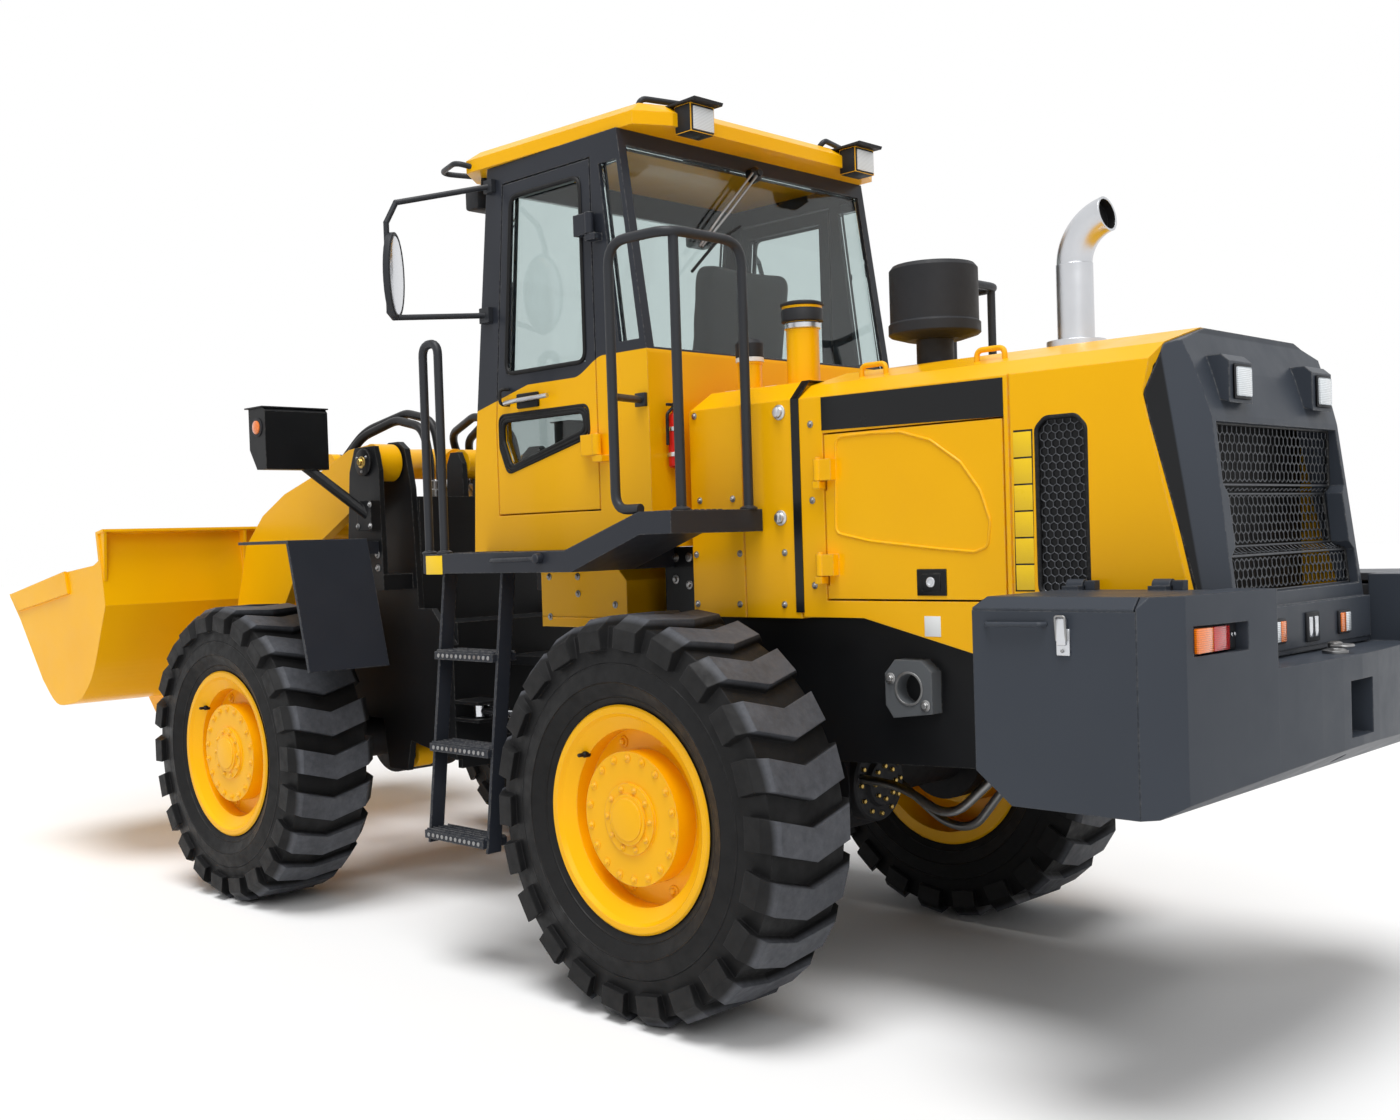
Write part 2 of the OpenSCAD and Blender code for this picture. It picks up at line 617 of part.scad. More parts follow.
// Platforms with step ladders, rails and mirrors
plat_half = 1000;
plat_x = [-200, 1170];
plat_low = deck_z - 75;
module platforms() {
  color(black) put() both() {
    box([bulk_x - 50, frame_half - plate, plat_low], [plat_x[1], plat_half, deck_z]);
    slab([[plat_x[0], deck_z + 45], [-50, deck_z + 45], [300, plat_low], [331, plat_low], [331, deck_z],
      [-50, deck_z + 120], [plat_x[0], deck_z + 120]], cab_half + 5, plat_half);
    box([plat_x[0], hood_half + 5, deck_z + 45], [-50, cab_half + 6, deck_z + 120]);
  }
}
lad_x = [730, 1100];
step_z = [490, 815, 1160];
module ladders() {
  color(black) put() both() {
    for (x = [lad_x[0], lad_x[1] - 12]) translate([x, 0, 0]) rotate([90, 0, 90]) linear_extrude(12)
      polygon([[1010, 470], [1070, 470], [960, plat_low], [900, plat_low]]);
    for (z = step_z) let (y = 1040 - 110 * (z - 470) / (plat_low - 470))
      box([lad_x[0] + 5, y - 60, z], [lad_x[1] - 5, y + 50, z + 30]);
  }
}
rail_r = 17;
rail_z = 2580;
module handrails() {
  foot = deck_z + 120 + seat;
  color(black) put() both() {
    tube_path([[90, 970, deck_z + 81.6], [90, 970, rail_z - 70], [40, 968, rail_z], [-120, 958, rail_z],
      [-180, 900, rail_z], [-180, 680, rail_z], [-180, 610, rail_z - 70], [-180, 610, foot]], rail_r);
    rod([-165, 915, foot], [-165, 915, rail_z - 5], rail_r);
    rod([90, 968, 2068], [230, cab_half + 12, 2082], 13);
    box([205, cab_half + seat, 2058], [255, cab_half + 16, 2106]);
    tube_path([[1062, 975, deck_z + seat], [1062, 975, 2320], [1092, 975, 2360], [1132, 975, 2360],
      [1160, 975, 2320], [1160, 975, deck_z + seat]], rail_r);
  }
}
mirror_y = 1072;
module mirrors() {
  color(black) put() both() {
    tube_path([[1100, cab_half + 14, 2490], [1230, mirror_y - 20, 2470], [1230, mirror_y, 2490],
      [1230, mirror_y, cab_top - 230], [1220, mirror_y - 40, cab_top - 150],
      [1050, cab_half + 14, cab_top - 75]], 11);
    box([1070, cab_half + seat, 2460], [1130, cab_half + 22, 2520]);
    box([1025, cab_half + seat, cab_top - 100], [1075, cab_half + 22, cab_top - 50]);
    translate([1215, mirror_y - 28, 2630]) rotate([0, 0, 35]) rotate([90, 0, 90]) linear_extrude(22)
      polygon([for (a = [0 : 15 : 345]) [78 * cos(a), 160 * sin(a)]]);
    rod([1228, mirror_y, 2630], [1218, mirror_y - 24, 2630], 9);
  }
}

// Front frame: side plates rising to the boom pivots, with outer ears
tower_in = 400;
tower_t = 30;
ear_out = [560, 585];
bulk_f = ax + 433;
lift_j = [px + 50, 620];
lift_y = 310;
lift_k = [px + 500, boom_z - 280];
front_pts = [[bulk_f, 640], [bulk_f, 1150], [bulk_f + 150, frame_top], [px - 160, frame_top],
  [px - 130, boom_z - 120], [px - 90, boom_z + 60], [px - 40, boom_z + 95], [px + 40, boom_z + 95],
  [px + 90, boom_z + 60], [px + 190, boom_z - 130], [px + 290, 1480], [fx + 190, 1130], [fx + 280, 980],
  [fx + 280, front_low], [lift_j.x + 110, front_low], [lift_j.x + 75, lift_j.y - 60],
  [lift_j.x - 75, lift_j.y - 60], [lift_j.x - 110, 700]];
module front_frame() {
  color(black) put() difference() {
    union() {
      both() slab(front_pts, tower_in, tower_in + tower_t);
      box([bulk_f, -tower_in - 1, 600], [bulk_f + 30, tower_in + 1, frame_top - 60]);
      box([bulk_f + 29, -tower_in - 1, front_low + 60], [lift_j.x - 130, tower_in + 1, frame_top - 60]);
      box([fx - 190, -tower_in - 1, front_low], [fx + 110, tower_in + 1, 930]);
      box([px - 150, -tower_in - 1, frame_top - 61], [px - 120, tower_in + 1, boom_z - 160]);
      box([px - 150, -tower_in - 1, boom_z - 190], [px + 150, tower_in + 1, boom_z - 160]);
      ear(bulk_f + 1, ear_z[0] + ear_t + gap);
      ear(bulk_f + 1, ear_z[1] - ear_t - gap);
      both() {
        eye_fork(steer_n.x - 70, bulk_f + 1, steer_n.y - 75, steer_n.y + 70);
        rod_y(px, boom_z, boom_pin, tower_in, ear_out[1] + 12);
        slab([[px - 120, 1400], [px + 180, 1400], [px + 130, boom_z - 40], [px + 80, boom_z + 70],
          [px - 80, boom_z + 70], [px - 110, boom_z - 40]], ear_out[0], ear_out[1]);
        box([px - 120, tower_in + 1, 1400], [px + 180, ear_out[1], 1470]);
        rod_y(lift_j.x, lift_j.y, lift_pin, lift_y - 52, tower_in + 1);
        slab([[px - 70, boom_z - 175], [px + 70, boom_z - 175], [px + 60, boom_z], [px + 30, boom_z + 55],
          [px - 30, boom_z + 55], [px - 60, boom_z]], 62, 90);
      }
      rod_y(px, boom_z, tilt_pin, -90, 90);
    }
    translate([ax, 0, ear_z[0]]) cylinder(r = ear_pin + play, h = 600);
    rod_y(fx, axle_z, 205 + gap, -150 - gap, 150 + gap);
  }
}
lift_pin = 30;
tilt_pin = 35;

// Mudguards and headlamps of the front part
fender_y = [656, 1050];
fender_z = 1635;
module front_fenders() {
  color(black) put() both() {
    slab([[fx - 194, fender_z], [fx - 620, fender_z], [fx - 764, 1075], [fx - 750, 1072],
      [fx - 609, fender_z - 13], [fx - 194, fender_z - 13]], fender_y[0], fender_y[1]);
    box([px - 90, ear_out[1], fender_z - 70], [px + 140, fender_y[0] + 60, fender_z - 12]);
  }
}
head_x = [px + 80, px + 220];
head_y = [720, 1030];
head_z = [1950, 2220];
module headlamps() {
  color(black) put() both() {
    box([px - 115, ear_out[1] + seat, 1670], [px - 5, ear_out[1] + 52, 1805]);
    bar([px - 75, ear_out[1] + 27, 1730], [px + 160, 840, head_z[0] + 50], 24);
    slab([[head_x[0], head_z[0]], [head_x[1] - 60, head_z[0]], [head_x[1], head_z[0] + 90],
      [head_x[1], head_z[1]], [head_x[0] + 15, head_z[1]], [head_x[0], head_z[1] - 15]], head_y[0],
      head_y[1]);
  }
}

// Boom: two curved arms, a cross tube and the rocker's bracket
boss_r = 80;
rock_c = [px + 900, boom_z - 310];
rock_e = [px + 760, boom_z - 780];
rock_d = [px + 1090, boom_z + 64];
rock_pin = 35;
link_pin = 30;
arm_pts = concat(
  [for (p = [[0, 85], [200, 70], [430, -10], [800, -110], [1020, -210], [1200, -360]])
    [px + p.x, boom_z + p.y]],
  [for (p = [[-670, 563], [-570, 363], [-390, 193], [-190, 90], [0, boss_r], [0, -boss_r], [-150, -boss_r],
    [-490, -37], [-790, 123]]) [bx + p.x, bz + p.y]],
  [for (p = [[1000, -930], [850, -680], [700, -480], [460, -340], [210, -220], [0, -85]])
    [px + p.x, boom_z + p.y]]);
arm_out = arm_in + arm_w;
module boom() {
  color(yellow) put() difference() {
    union() {
      both() {
        slab(arm_pts, arm_in, arm_out);
        rod_y(px, boom_z, 85, tower_in + tower_t + 10, ear_out[0] - 10);
        rod_y(bx, bz, boss_r, arm_in - 10, arm_out + 60);
        rod_y(lift_k.x, lift_k.y, 55, lift_y + 38 + gap, arm_in + 1);
        slab([[px + 680, boom_z - 370], [rock_c.x, rock_c.y - 65], [rock_c.x, rock_c.y + 65],
          [px + 680, boom_z - 250]], 115, 150);
        rod_y(rock_c.x, rock_c.y, 70, 115, 150);
      }
      rod_y(px + 680, boom_z - 310, 60, -arm_in - 1, arm_in + 1);
      rod_y(rock_c.x, rock_c.y, rock_pin, -150, 150);
    }
    both() {
      rod_y(px, boom_z, boom_pin + play, tower_in, ear_out[1]);
      rod_y(bx, bz, bucket_pin_r + play, arm_in - 20, arm_out + 70);
    }
  }
}

// Cylinders
lift_l = norm(lift_k - lift_j);
lift_tip = atan2(lift_k.y - lift_j.y, lift_k.x - lift_j.x);
lift_mouth = 950;
module lift_barrels() {
  color(yellow) put() both() translate([0, lift_y, 0]) along(lift_j.x, lift_j.y, lift_tip) difference() {
    union() {
      rod_y(0, 0, 60, -45, 45);
      rod_x(40, lift_mouth, 0, 0, lift_r);
      rod_x(lift_mouth - 60, lift_mouth, 0, 0, lift_r + 8);
    }
    rod_y(0, 0, lift_pin + play, -60, 60);
    rod_x(100, lift_mouth + 1, 0, 0, lift_rod_r + play);
  }
}
module lift_rods() {
  color(steel) put() both() translate([0, lift_y, 0]) along(lift_j.x, lift_j.y, lift_tip) {
    rod_x(225, lift_l, 0, 0, lift_rod_r);
    rod_y(lift_l, 0, 55, -38, 38);
  }
}
tilt_l = norm(rock_d - [px, boom_z]);
tilt_tip = atan2(rock_d.y - boom_z, rock_d.x - px);
tilt_mouth = 560;
module tilt_barrel() {
  color(yellow) put() along(px, boom_z, tilt_tip) difference() {
    union() {
      rod_y(0, 0, 70, -50, 50);
      rod_x(45, 115, 0, 0, 48);
      rod_x(110, tilt_mouth, 0, 0, tilt_r);
    }
    rod_y(0, 0, tilt_pin + play, -60, 60);
    rod_x(130, tilt_mouth + 1, 0, 0, tilt_rod_r + play);
  }
}
module tilt_rod() {
  color(steel) put() along(px, boom_z, tilt_tip) {
    rod_x(515, tilt_l, 0, 0, tilt_rod_r);
    rod_y(tilt_l, 0, 52, -40, 40);
  }
}
steer_l = norm(steer_n - steer_m);
steer_turn = atan2(steer_n.y - steer_m.y, steer_n.x - steer_m.x);
steer_mouth = 900;
module steer_place() {
  put() translate([steer_m.x, steer_m.y, steer_z]) rotate([0, 0, steer_turn]) children();
}
module steer_barrel() {
  steer_place() difference() {
    union() {
      translate([0, 0, -steer_eye_t / 2]) cylinder(r = steer_eye, h = steer_eye_t);
      rod_x(20, 80, 0, 0, steer_eye_t / 2);
      rod_x(75, steer_mouth, 0, 0, steer_r);
    }
    translate([0, 0, -steer_eye_t]) cylinder(r = 25 + play, h = 2 * steer_eye_t);
    rod_x(380, steer_mouth + 1, 0, 0, steer_rod_r + play);
  }
}
module steer_rod() {
  steer_place() {
    rod_x(660, steer_l, 0, 0, steer_rod_r);
    translate([steer_l, 0, -steer_eye_t / 2]) cylinder(r = steer_eye - 9, h = steer_eye_t);
  }
}
module steer_barrel_left() { color(black) steer_barrel(); }
module steer_barrel_right() { color(black) mirror([0, 1, 0]) steer_barrel(); }
module steer_rod_left() { color(steel) steer_rod(); }
module steer_rod_right() { color(steel) mirror([0, 1, 0]) steer_rod(); }

// Bucket, drawn level about its pin and rolled back
floor_end = bucket_reach - 200;
floor_w = -110;
lug_f = [-217, 421];
lug_in = 52;
heel = [[365, floor_w + 2], [165, -55], [49, 87], [-10, 200], [-24, 329], [-5, 450], [42, 572], [129, 780]];
function cr(a, b, c, d, t) = 0.5 * (2 * b + (c - a) * t + (2 * a - 5 * b + 4 * c - d) * t * t
  + (3 * b - a - 3 * c + d) * t * t * t);
function smooth(p, n) = [for (i = [0 : len(p) - 2]) for (k = [0 : n - 1])
  cr(p[max(i - 1, 0)], p[i], p[i + 1], p[min(i + 2, len(p) - 1)], k / n)];
lip = [450, 979];
shell = concat([[floor_end, floor_w]], smooth(heel, 4), [heel[len(heel) - 1], lip]);
rib_d = (lip - heel[7]) / norm(lip - heel[7]);
rib_n = [-rib_d.y, rib_d.x];
function inset(p, t) = [for (i = [0 : len(p) - 1]) let (d = p[min(i + 1, len(p) - 1)] - p[max(i - 1, 0)])
  p[i] + t * [d.y, -d.x] / norm(d)];
inner = inset(shell, bucket_t);
function rev(v) = [for (i = [len(v) - 1 : -1 : 0]) v[i]];
side = concat([[floor_end, floor_w + bucket_t]], [for (i = [0 : len(shell) - 2]) shell[i]],
  [[330, 905], [361, 822], [555, 553], [bucket_reach - 45, floor_w + bucket_t + seat],
  [floor_end, floor_w + bucket_t + seat]]);
ear_inner = [arm_in - 50, arm_in - 20];
ear_outer = [arm_out + 70, arm_out + 100];
module bucket_place() { put() along(bx, bz, rollback) children(); }
module bucket() {
  color(yellow) bucket_place() {
    slab(concat(shell, rev(inner)), -bucket_half, bucket_half);
    both() slab(side, bucket_half - bucket_t, bucket_half);
    difference() {
      both() {
        for (e = [ear_inner, ear_outer]) {
          rod_y(0, 0, 88, e[0], e[1]);
          slab([[-88, 0], [-75, 60], [-30, 330], [10, 340], [370, -100], [300, -105], [60, -88], [0, -88]],
            e[0], e[1]);
        }
        slab([[lug_f.x - 10, lug_f.y - 55], [lug_f.x - 10, lug_f.y + 55], [20, 590], [20, 300]], lug_in,
          lug_in + 33);
        rod_y(lug_f.x, lug_f.y, 56, lug_in, lug_in + 33);
      }
      slab(concat(inner, [[900, 900]]), -bucket_half, bucket_half);
    }
    slab([lip - 14 * rib_d, lip, lip + 62 * rib_n, lip + 62 * rib_n - 14 * rib_d], -bucket_half, bucket_half);
    both() for (y = [380, bucket_half - bucket_t])
      slab([lip - 5 * rib_d, lip - 5 * rib_d + 60 * rib_n, lip - 250 * rib_d + 3 * rib_n,
        lip - 250 * rib_d - 3 * rib_n], y, y + 16);
    both() rod_y(0, 0, bucket_pin_r, ear_inner[0], ear_outer[1] + 12);
  }
}
module bucket_edge() {
  color(steel) bucket_place() {
    slab([[floor_end + 0.6, floor_w], [floor_end + 0.6, floor_w + bucket_t],
      [bucket_reach - 45, floor_w + bucket_t], [bucket_reach, -edge_drop],
      [bucket_reach - 22, -edge_drop - 3]], -bucket_half, bucket_half);
    both() slab([[bucket_reach - 45, floor_w + 40], [560, 552], [452, 500],
      [bucket_reach - 170, floor_w + 40]], bucket_half, bucket_half + 14);
  }
}

// Rocker and link between tilt cylinder and bucket
rock_y = [52, 92];
module rocker() {
  color(yellow) put() difference() {
    union() {
      rod_y(rock_c.x, rock_c.y, 75, -105, 105);
      both() {
        slab([[rock_c.x - 72, rock_c.y], [rock_d.x - 48, rock_d.y], [rock_d.x + 48, rock_d.y - 10],
          [rock_c.x + 72, rock_c.y], [rock_e.x + 46, rock_e.y], [rock_e.x - 46, rock_e.y]], rock_y[0],
          rock_y[1]);
        rod_y(rock_d.x, rock_d.y, 52, rock_y[0], rock_y[1] + 12);
        rod_y(rock_e.x, rock_e.y, 52, rock_y[0], rock_y[1]);
      }
      rod_y(rock_e.x, rock_e.y, link_pin, -rock_y[1], rock_y[1]);
    }
    rod_y(rock_c.x, rock_c.y, rock_pin + play, -110, 110);
  }
}
link_f = [bx, bz] + [lug_f.x * cos(rollback) - lug_f.y * sin(rollback),
  lug_f.x * sin(rollback) + lug_f.y * cos(rollback)];
link_l = norm(link_f - rock_e);
link_tip = atan2(link_f.y - rock_e.y, link_f.x - rock_e.x);
module link() {
  color(yellow) put() along(rock_e.x, rock_e.y, link_tip) difference() {
    union() {
      box([0, -40, -38], [link_l, 40, 38]);
      rod_y(0, 0, 60, -44, 44);
      rod_y(link_l, 0, 52, -44, 44);
    }
    rod_y(0, 0, link_pin + play, -50, 50);
  }
}

// Wheels
module rim() {
  rotate_extrude() polygon([[rim_r - 30, -174], [rim_r + 14, -174], [rim_r + 22, -167], [rim_r - seat, -150],
    [rim_r - seat, 150], [rim_r + 22, 167], [rim_r + 14, 174], [rim_r - 6, 174], [rim_r - 18, 160],
    [rim_r - 62, 132], [rim_r - 62, 60], [rim_r - 30, 45]]);
  difference() {
    union() {
      translate([0, 0, 40]) cylinder(r = rim_r - 29, h = 30);
      translate([0, 0, -60]) cylinder(r = hub_r, h = 212);
      translate([0, 0, 151]) cylinder(r = 118, h = 11);
      translate([0, 0, 161]) cylinder(r = 84, h = 9);
    }
    translate([0, 0, -61]) cylinder(r = stub_r + play, h = 100);
  }
}
lugs = 22;
lug_half = 52;
lug_vee = 58;
body_r = tyre_r - lug_h;
lug_top = (tyre_r - (lug_half + lug_vee / 2) * sin(180 / lugs)) / cos(180 / lugs);
module lug(half) {
  difference() {
    rotate([0, 90, 0]) translate([0, 0, body_r - 75]) linear_extrude(lug_top - body_r + 75)
      polygon([[-half, lug_vee / 2 - lug_half], [0, -lug_vee / 2 - lug_half],
        [half, lug_vee / 2 - lug_half], [half, lug_vee / 2 + lug_half], [0, lug_half - lug_vee / 2],
        [-half, lug_half + lug_vee / 2]]);
    for (k = [0, 1]) mirror([0, 0, k]) translate([0, 200, 0]) rotate([90, 0, 0]) linear_extrude(400)
      polygon([[lug_top + 1, half - 52], [lug_top + 1, half + 1], [lug_top - 44, half + 1]]);
  }
}
module tyre() {
  half = tyre_w / 2;
  prof = [[rim_r, 150], [rim_r + 100, half - 7], [body_r, half - 40]];
  rotate_extrude($fn = 28) polygon(concat(prof, rev([for (p = prof) [p.x, -p.y]])));
  for (i = [0 : lugs - 1]) rotate([0, 0, 90 + 360 * (i + 0.5) / lugs]) lug(half);
}
module wheel_place(x, s) { put() translate([x, s * wheel_y, axle_z]) rotate([-90 * s, 0, 0]) children(); }
module rim_front_left() { color(yellow) wheel_place(fx, 1) rim(); }
module rim_front_right() { color(yellow) wheel_place(fx, -1) rim(); }
module rim_rear_left() { color(yellow) wheel_place(0, 1) rim(); }
module rim_rear_right() { color(yellow) wheel_place(0, -1) rim(); }
module tyre_front_left() { color("#1c1c1d") wheel_place(fx, 1) tyre(); }
module tyre_front_right() { mirror([0, 1, 0]) tyre_front_left(); }
module tyre_rear_left() { color("#1c1c1d") wheel_place(0, 1) tyre(); }
module tyre_rear_right() { mirror([0, 1, 0]) tyre_rear_left(); }

rear_frame();
rear_axle();
engine();
drive_shafts();
radiator();
counterweight();
battery_box_left();
battery_box_right();
battery_lid_left();
battery_lid_right();
hood();
hood_door_left();
hood_door_right();
tail_surround();
rear_grille();
rear_lamps();
tank();
side_boxes();
exhaust();
precleaner();
cab_shell();
cab_roof();
cab_glass();
cab_door_left();
cab_door_right();
door_glass_left();
door_glass_right();
seat();
console();
platforms();
ladders();
handrails();
mirrors();
front_frame();
front_axle();
front_fenders();
headlamps();
boom();
lift_barrels();
lift_rods();
bucket();
bucket_edge();
rocker();
link();
tilt_barrel();
tilt_rod();
steer_barrel_left();
steer_barrel_right();
steer_rod_left();
steer_rod_right();
rim_front_left();
rim_front_right();
rim_rear_left();
rim_rear_right();
tyre_front_left();
tyre_front_right();
tyre_rear_left();
tyre_rear_right();
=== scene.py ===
"""Looks of the articulated wheel loader: materials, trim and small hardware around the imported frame.
Metres, +Z up, +Y left. X is counted from the rear axle in the point lists and shifted once, by OX."""
import math

import bmesh
import bpy
from mathutils import Matrix, Vector


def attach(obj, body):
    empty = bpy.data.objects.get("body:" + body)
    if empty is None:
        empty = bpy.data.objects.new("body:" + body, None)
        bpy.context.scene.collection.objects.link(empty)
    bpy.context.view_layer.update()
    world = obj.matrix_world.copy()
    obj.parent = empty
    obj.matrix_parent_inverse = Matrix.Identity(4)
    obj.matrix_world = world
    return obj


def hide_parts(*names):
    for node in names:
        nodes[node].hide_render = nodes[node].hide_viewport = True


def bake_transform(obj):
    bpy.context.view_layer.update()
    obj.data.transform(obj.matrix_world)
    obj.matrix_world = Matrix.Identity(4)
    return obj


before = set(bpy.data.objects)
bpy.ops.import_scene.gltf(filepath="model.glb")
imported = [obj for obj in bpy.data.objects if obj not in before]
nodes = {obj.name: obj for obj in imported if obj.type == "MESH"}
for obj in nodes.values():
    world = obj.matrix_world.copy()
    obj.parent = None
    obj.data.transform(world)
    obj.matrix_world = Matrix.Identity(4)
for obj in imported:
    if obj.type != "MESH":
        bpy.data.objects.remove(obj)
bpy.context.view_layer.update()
scene = bpy.context.scene

# Places and directions that the pieces refer to

OX = 1.486679  # how far the frame's origin lies ahead of the rear axle
FRONT_AXLE_X = 2.714
AXLE_Z = 0.674
WHEEL_Y = 0.88
HOOD_Y = 0.56  # outer faces of hood and tank
CAB_Y = 0.7  # outer faces of the cab's sides
BOX_Y = 1.0  # outer faces of battery boxes and platforms
REAR_DECK_Z = 1.68
FRONT_DECK_Z = 1.56
TOWER_TOP_Z = 1.82
BOOM_PIN_X = 2.2
BOOM_PIN_Z = 1.98
SUNK = 0.0005  # how deep flat trim sinks into its panel
SIDES = (("left", 1), ("right", -1))
UP = (0, 0, 1)
BACK = (-1, 0, 0)


# Shader helpers


def srgb(r, g, b):
    """Linear colour with alpha, from screen values of 0 to 255."""
    levels = (r / 255, g / 255, b / 255)
    return tuple(c / 12.92 if c <= 0.04045 else ((c + 0.055) / 1.055) ** 2.4 for c in levels) + (1,)


def shade(rgb, k):
    return tuple(min(1, c * k) for c in rgb[:3]) + (1,)


class Shader:
    """A material whose nodes are made one call at a time; values are sockets or plain numbers."""

    def __init__(self, name):
        self.mat = bpy.data.materials.new(name)
        self.mat.use_nodes = True
        self.tree = self.mat.node_tree
        self.bsdf = self.tree.nodes["Principled BSDF"]
        self.coord = self.node("ShaderNodeTexCoord").outputs["Object"]

    def node(self, kind, **props):
        n = self.tree.nodes.new(kind)
        for k, v in props.items():
            setattr(n, k, v)
        return n

    def link(self, a, b):
        self.tree.links.new(a, b)

    def feed(self, socket, value):
        if hasattr(value, "links"):
            self.link(value, socket)
        else:
            socket.default_value = value

    def noise(self, scale, detail=3, rough=0.55, stretch=None):
        n = self.node("ShaderNodeTexNoise")
        n.inputs["Scale"].default_value = scale
        n.inputs["Detail"].default_value = detail
        n.inputs["Roughness"].default_value = rough
        source = self.coord
        if stretch:
            m = self.node("ShaderNodeMapping")
            m.inputs["Scale"].default_value = stretch
            self.link(source, m.inputs["Vector"])
            source = m.outputs["Vector"]
        self.link(source, n.inputs["Vector"])
        return n.outputs["Fac"]

    def span(self, value, a, b, c=0.0, d=1.0, smooth=False):
        """Maps a to b onto c to d."""
        n = self.node("ShaderNodeMapRange", interpolation_type="SMOOTHSTEP" if smooth else "LINEAR")
        self.link(value, n.inputs["Value"])
        for key, v in zip(("From Min", "From Max", "To Min", "To Max"), (a, b, c, d)):
            n.inputs[key].default_value = v
        return n.outputs["Result"]

    def drift(self, noise, c=0.0, d=1.0):
        """Spreads the middle of a noise over c to d."""
        return self.span(noise, 0.3, 0.7, c, d)

    def math(self, op, a, b=0.0):
        n = self.node("ShaderNodeMath", operation=op)
        self.feed(n.inputs[0], a)
        self.feed(n.inputs[1], b)
        return n.outputs[0]

    def mix(self, fac, a, b):
        n = self.node("ShaderNodeMix", data_type="RGBA")
        self.feed(n.inputs["Factor"], fac)
        self.feed(n.inputs["A"], a)
        self.feed(n.inputs["B"], b)
        return n.outputs["Result"]

    def axis(self, k):
        n = self.node("ShaderNodeSeparateXYZ")
        self.link(self.coord, n.inputs[0])
        return n.outputs[k]

    def bump(self, height, strength, distance=0.001, normal=None):
        n = self.node("ShaderNodeBump")
        n.inputs["Strength"].default_value = strength
        n.inputs["Distance"].default_value = distance
        self.link(height, n.inputs["Height"])
        if normal is not None:
            self.link(normal, n.inputs["Normal"])
        return n.outputs["Normal"]

    def soft_edge(self, radius):
        n = self.node("ShaderNodeBevel", samples=4)
        n.inputs["Radius"].default_value = radius
        return n.outputs["Normal"]

    def edge_mask(self, rounded):
        """1 where the rounded normal leaves the face's own."""
        g = self.node("ShaderNodeNewGeometry")
        d = self.node("ShaderNodeVectorMath", operation="DOT_PRODUCT")
        self.link(rounded, d.inputs[0])
        self.link(g.outputs["Normal"], d.inputs[1])
        return self.span(d.outputs["Value"], 0.985, 0.80)

    def set(self, **values):
        for key, v in values.items():
            self.feed(self.bsdf.inputs[key.replace("_", " ")], v)
        return self.mat


# Materials


def paint(name, rgb, rough=0.34, coat=0.08, edge=0.006, worn=0.5, second=None, mask=None):
    """Sprayed paint: broad tone drift, orange peel, rounded edges with a paler tint that is partly rubbed
    wear and partly a painted highlight.
    A mask picks where the second colour is."""
    s = Shader(name)
    tone = s.drift(s.noise(1.7, 2))
    base = s.mix(tone, shade(rgb, 0.95), shade(rgb, 1.04))
    if second:
        base = s.mix(mask(s), base, s.mix(tone, shade(second, 0.9), shade(second, 1.1)))
    rounded = s.soft_edge(edge)
    # Paler rounded edges: rubbed wear, and also a painted highlight along every edge
    edge_wear_and_highlight = s.math("MULTIPLY", s.edge_mask(rounded), s.span(s.noise(60, 5, 0.7), 0.42, 0.62))
    edge_wear_and_highlight = s.math("MULTIPLY", edge_wear_and_highlight, worn)
    base = s.mix(edge_wear_and_highlight, base, s.mix(0.5, base, (0.75, 0.72, 0.66, 1)))
    peel = s.bump(s.noise(260, 2), 0.05, 0.0006, rounded)
    gloss = s.drift(s.noise(9, 4), rough - 0.05, rough + 0.06)
    return s.set(
        Base_Color=base, Roughness=gloss, Normal=peel, Specular_IOR_Level=0.17, Coat_Weight=coat,
        Coat_Roughness=0.12)


def moulded(name, rgb, rough=0.55, grain=420, depth=0.25, edge=0.004):
    """Moulded or cast surface with a fine grain."""
    s = Shader(name)
    rounded = s.soft_edge(edge)
    base = s.mix(s.noise(4, 3), shade(rgb, 0.85), shade(rgb, 1.2))
    gloss = s.drift(s.noise(30, 3), rough - 0.06, rough + 0.08)
    return s.set(
        Base_Color=base, Roughness=gloss, Specular_IOR_Level=0.25,
        Normal=s.bump(s.noise(grain, 2), depth, 0.0005, rounded))


def metal(name, rgb, rough=0.25, brushed=(3, 3, 160), stain=None):
    """Bare metal with brushed lines and, where asked, stains."""
    s = Shader(name)
    lines = s.noise(6, 3, stretch=brushed)
    base = s.mix(lines, shade(rgb, 0.85), shade(rgb, 1.08))
    if stain:
        base = s.mix(s.span(s.noise(7, 5), 0.55, 0.75), base, stain)
    return s.set(
        Base_Color=base, Metallic=1.0, Roughness=s.drift(lines, rough - 0.06, rough + 0.1),
        Normal=s.bump(lines, 0.06, 0.0005, s.soft_edge(0.003)))


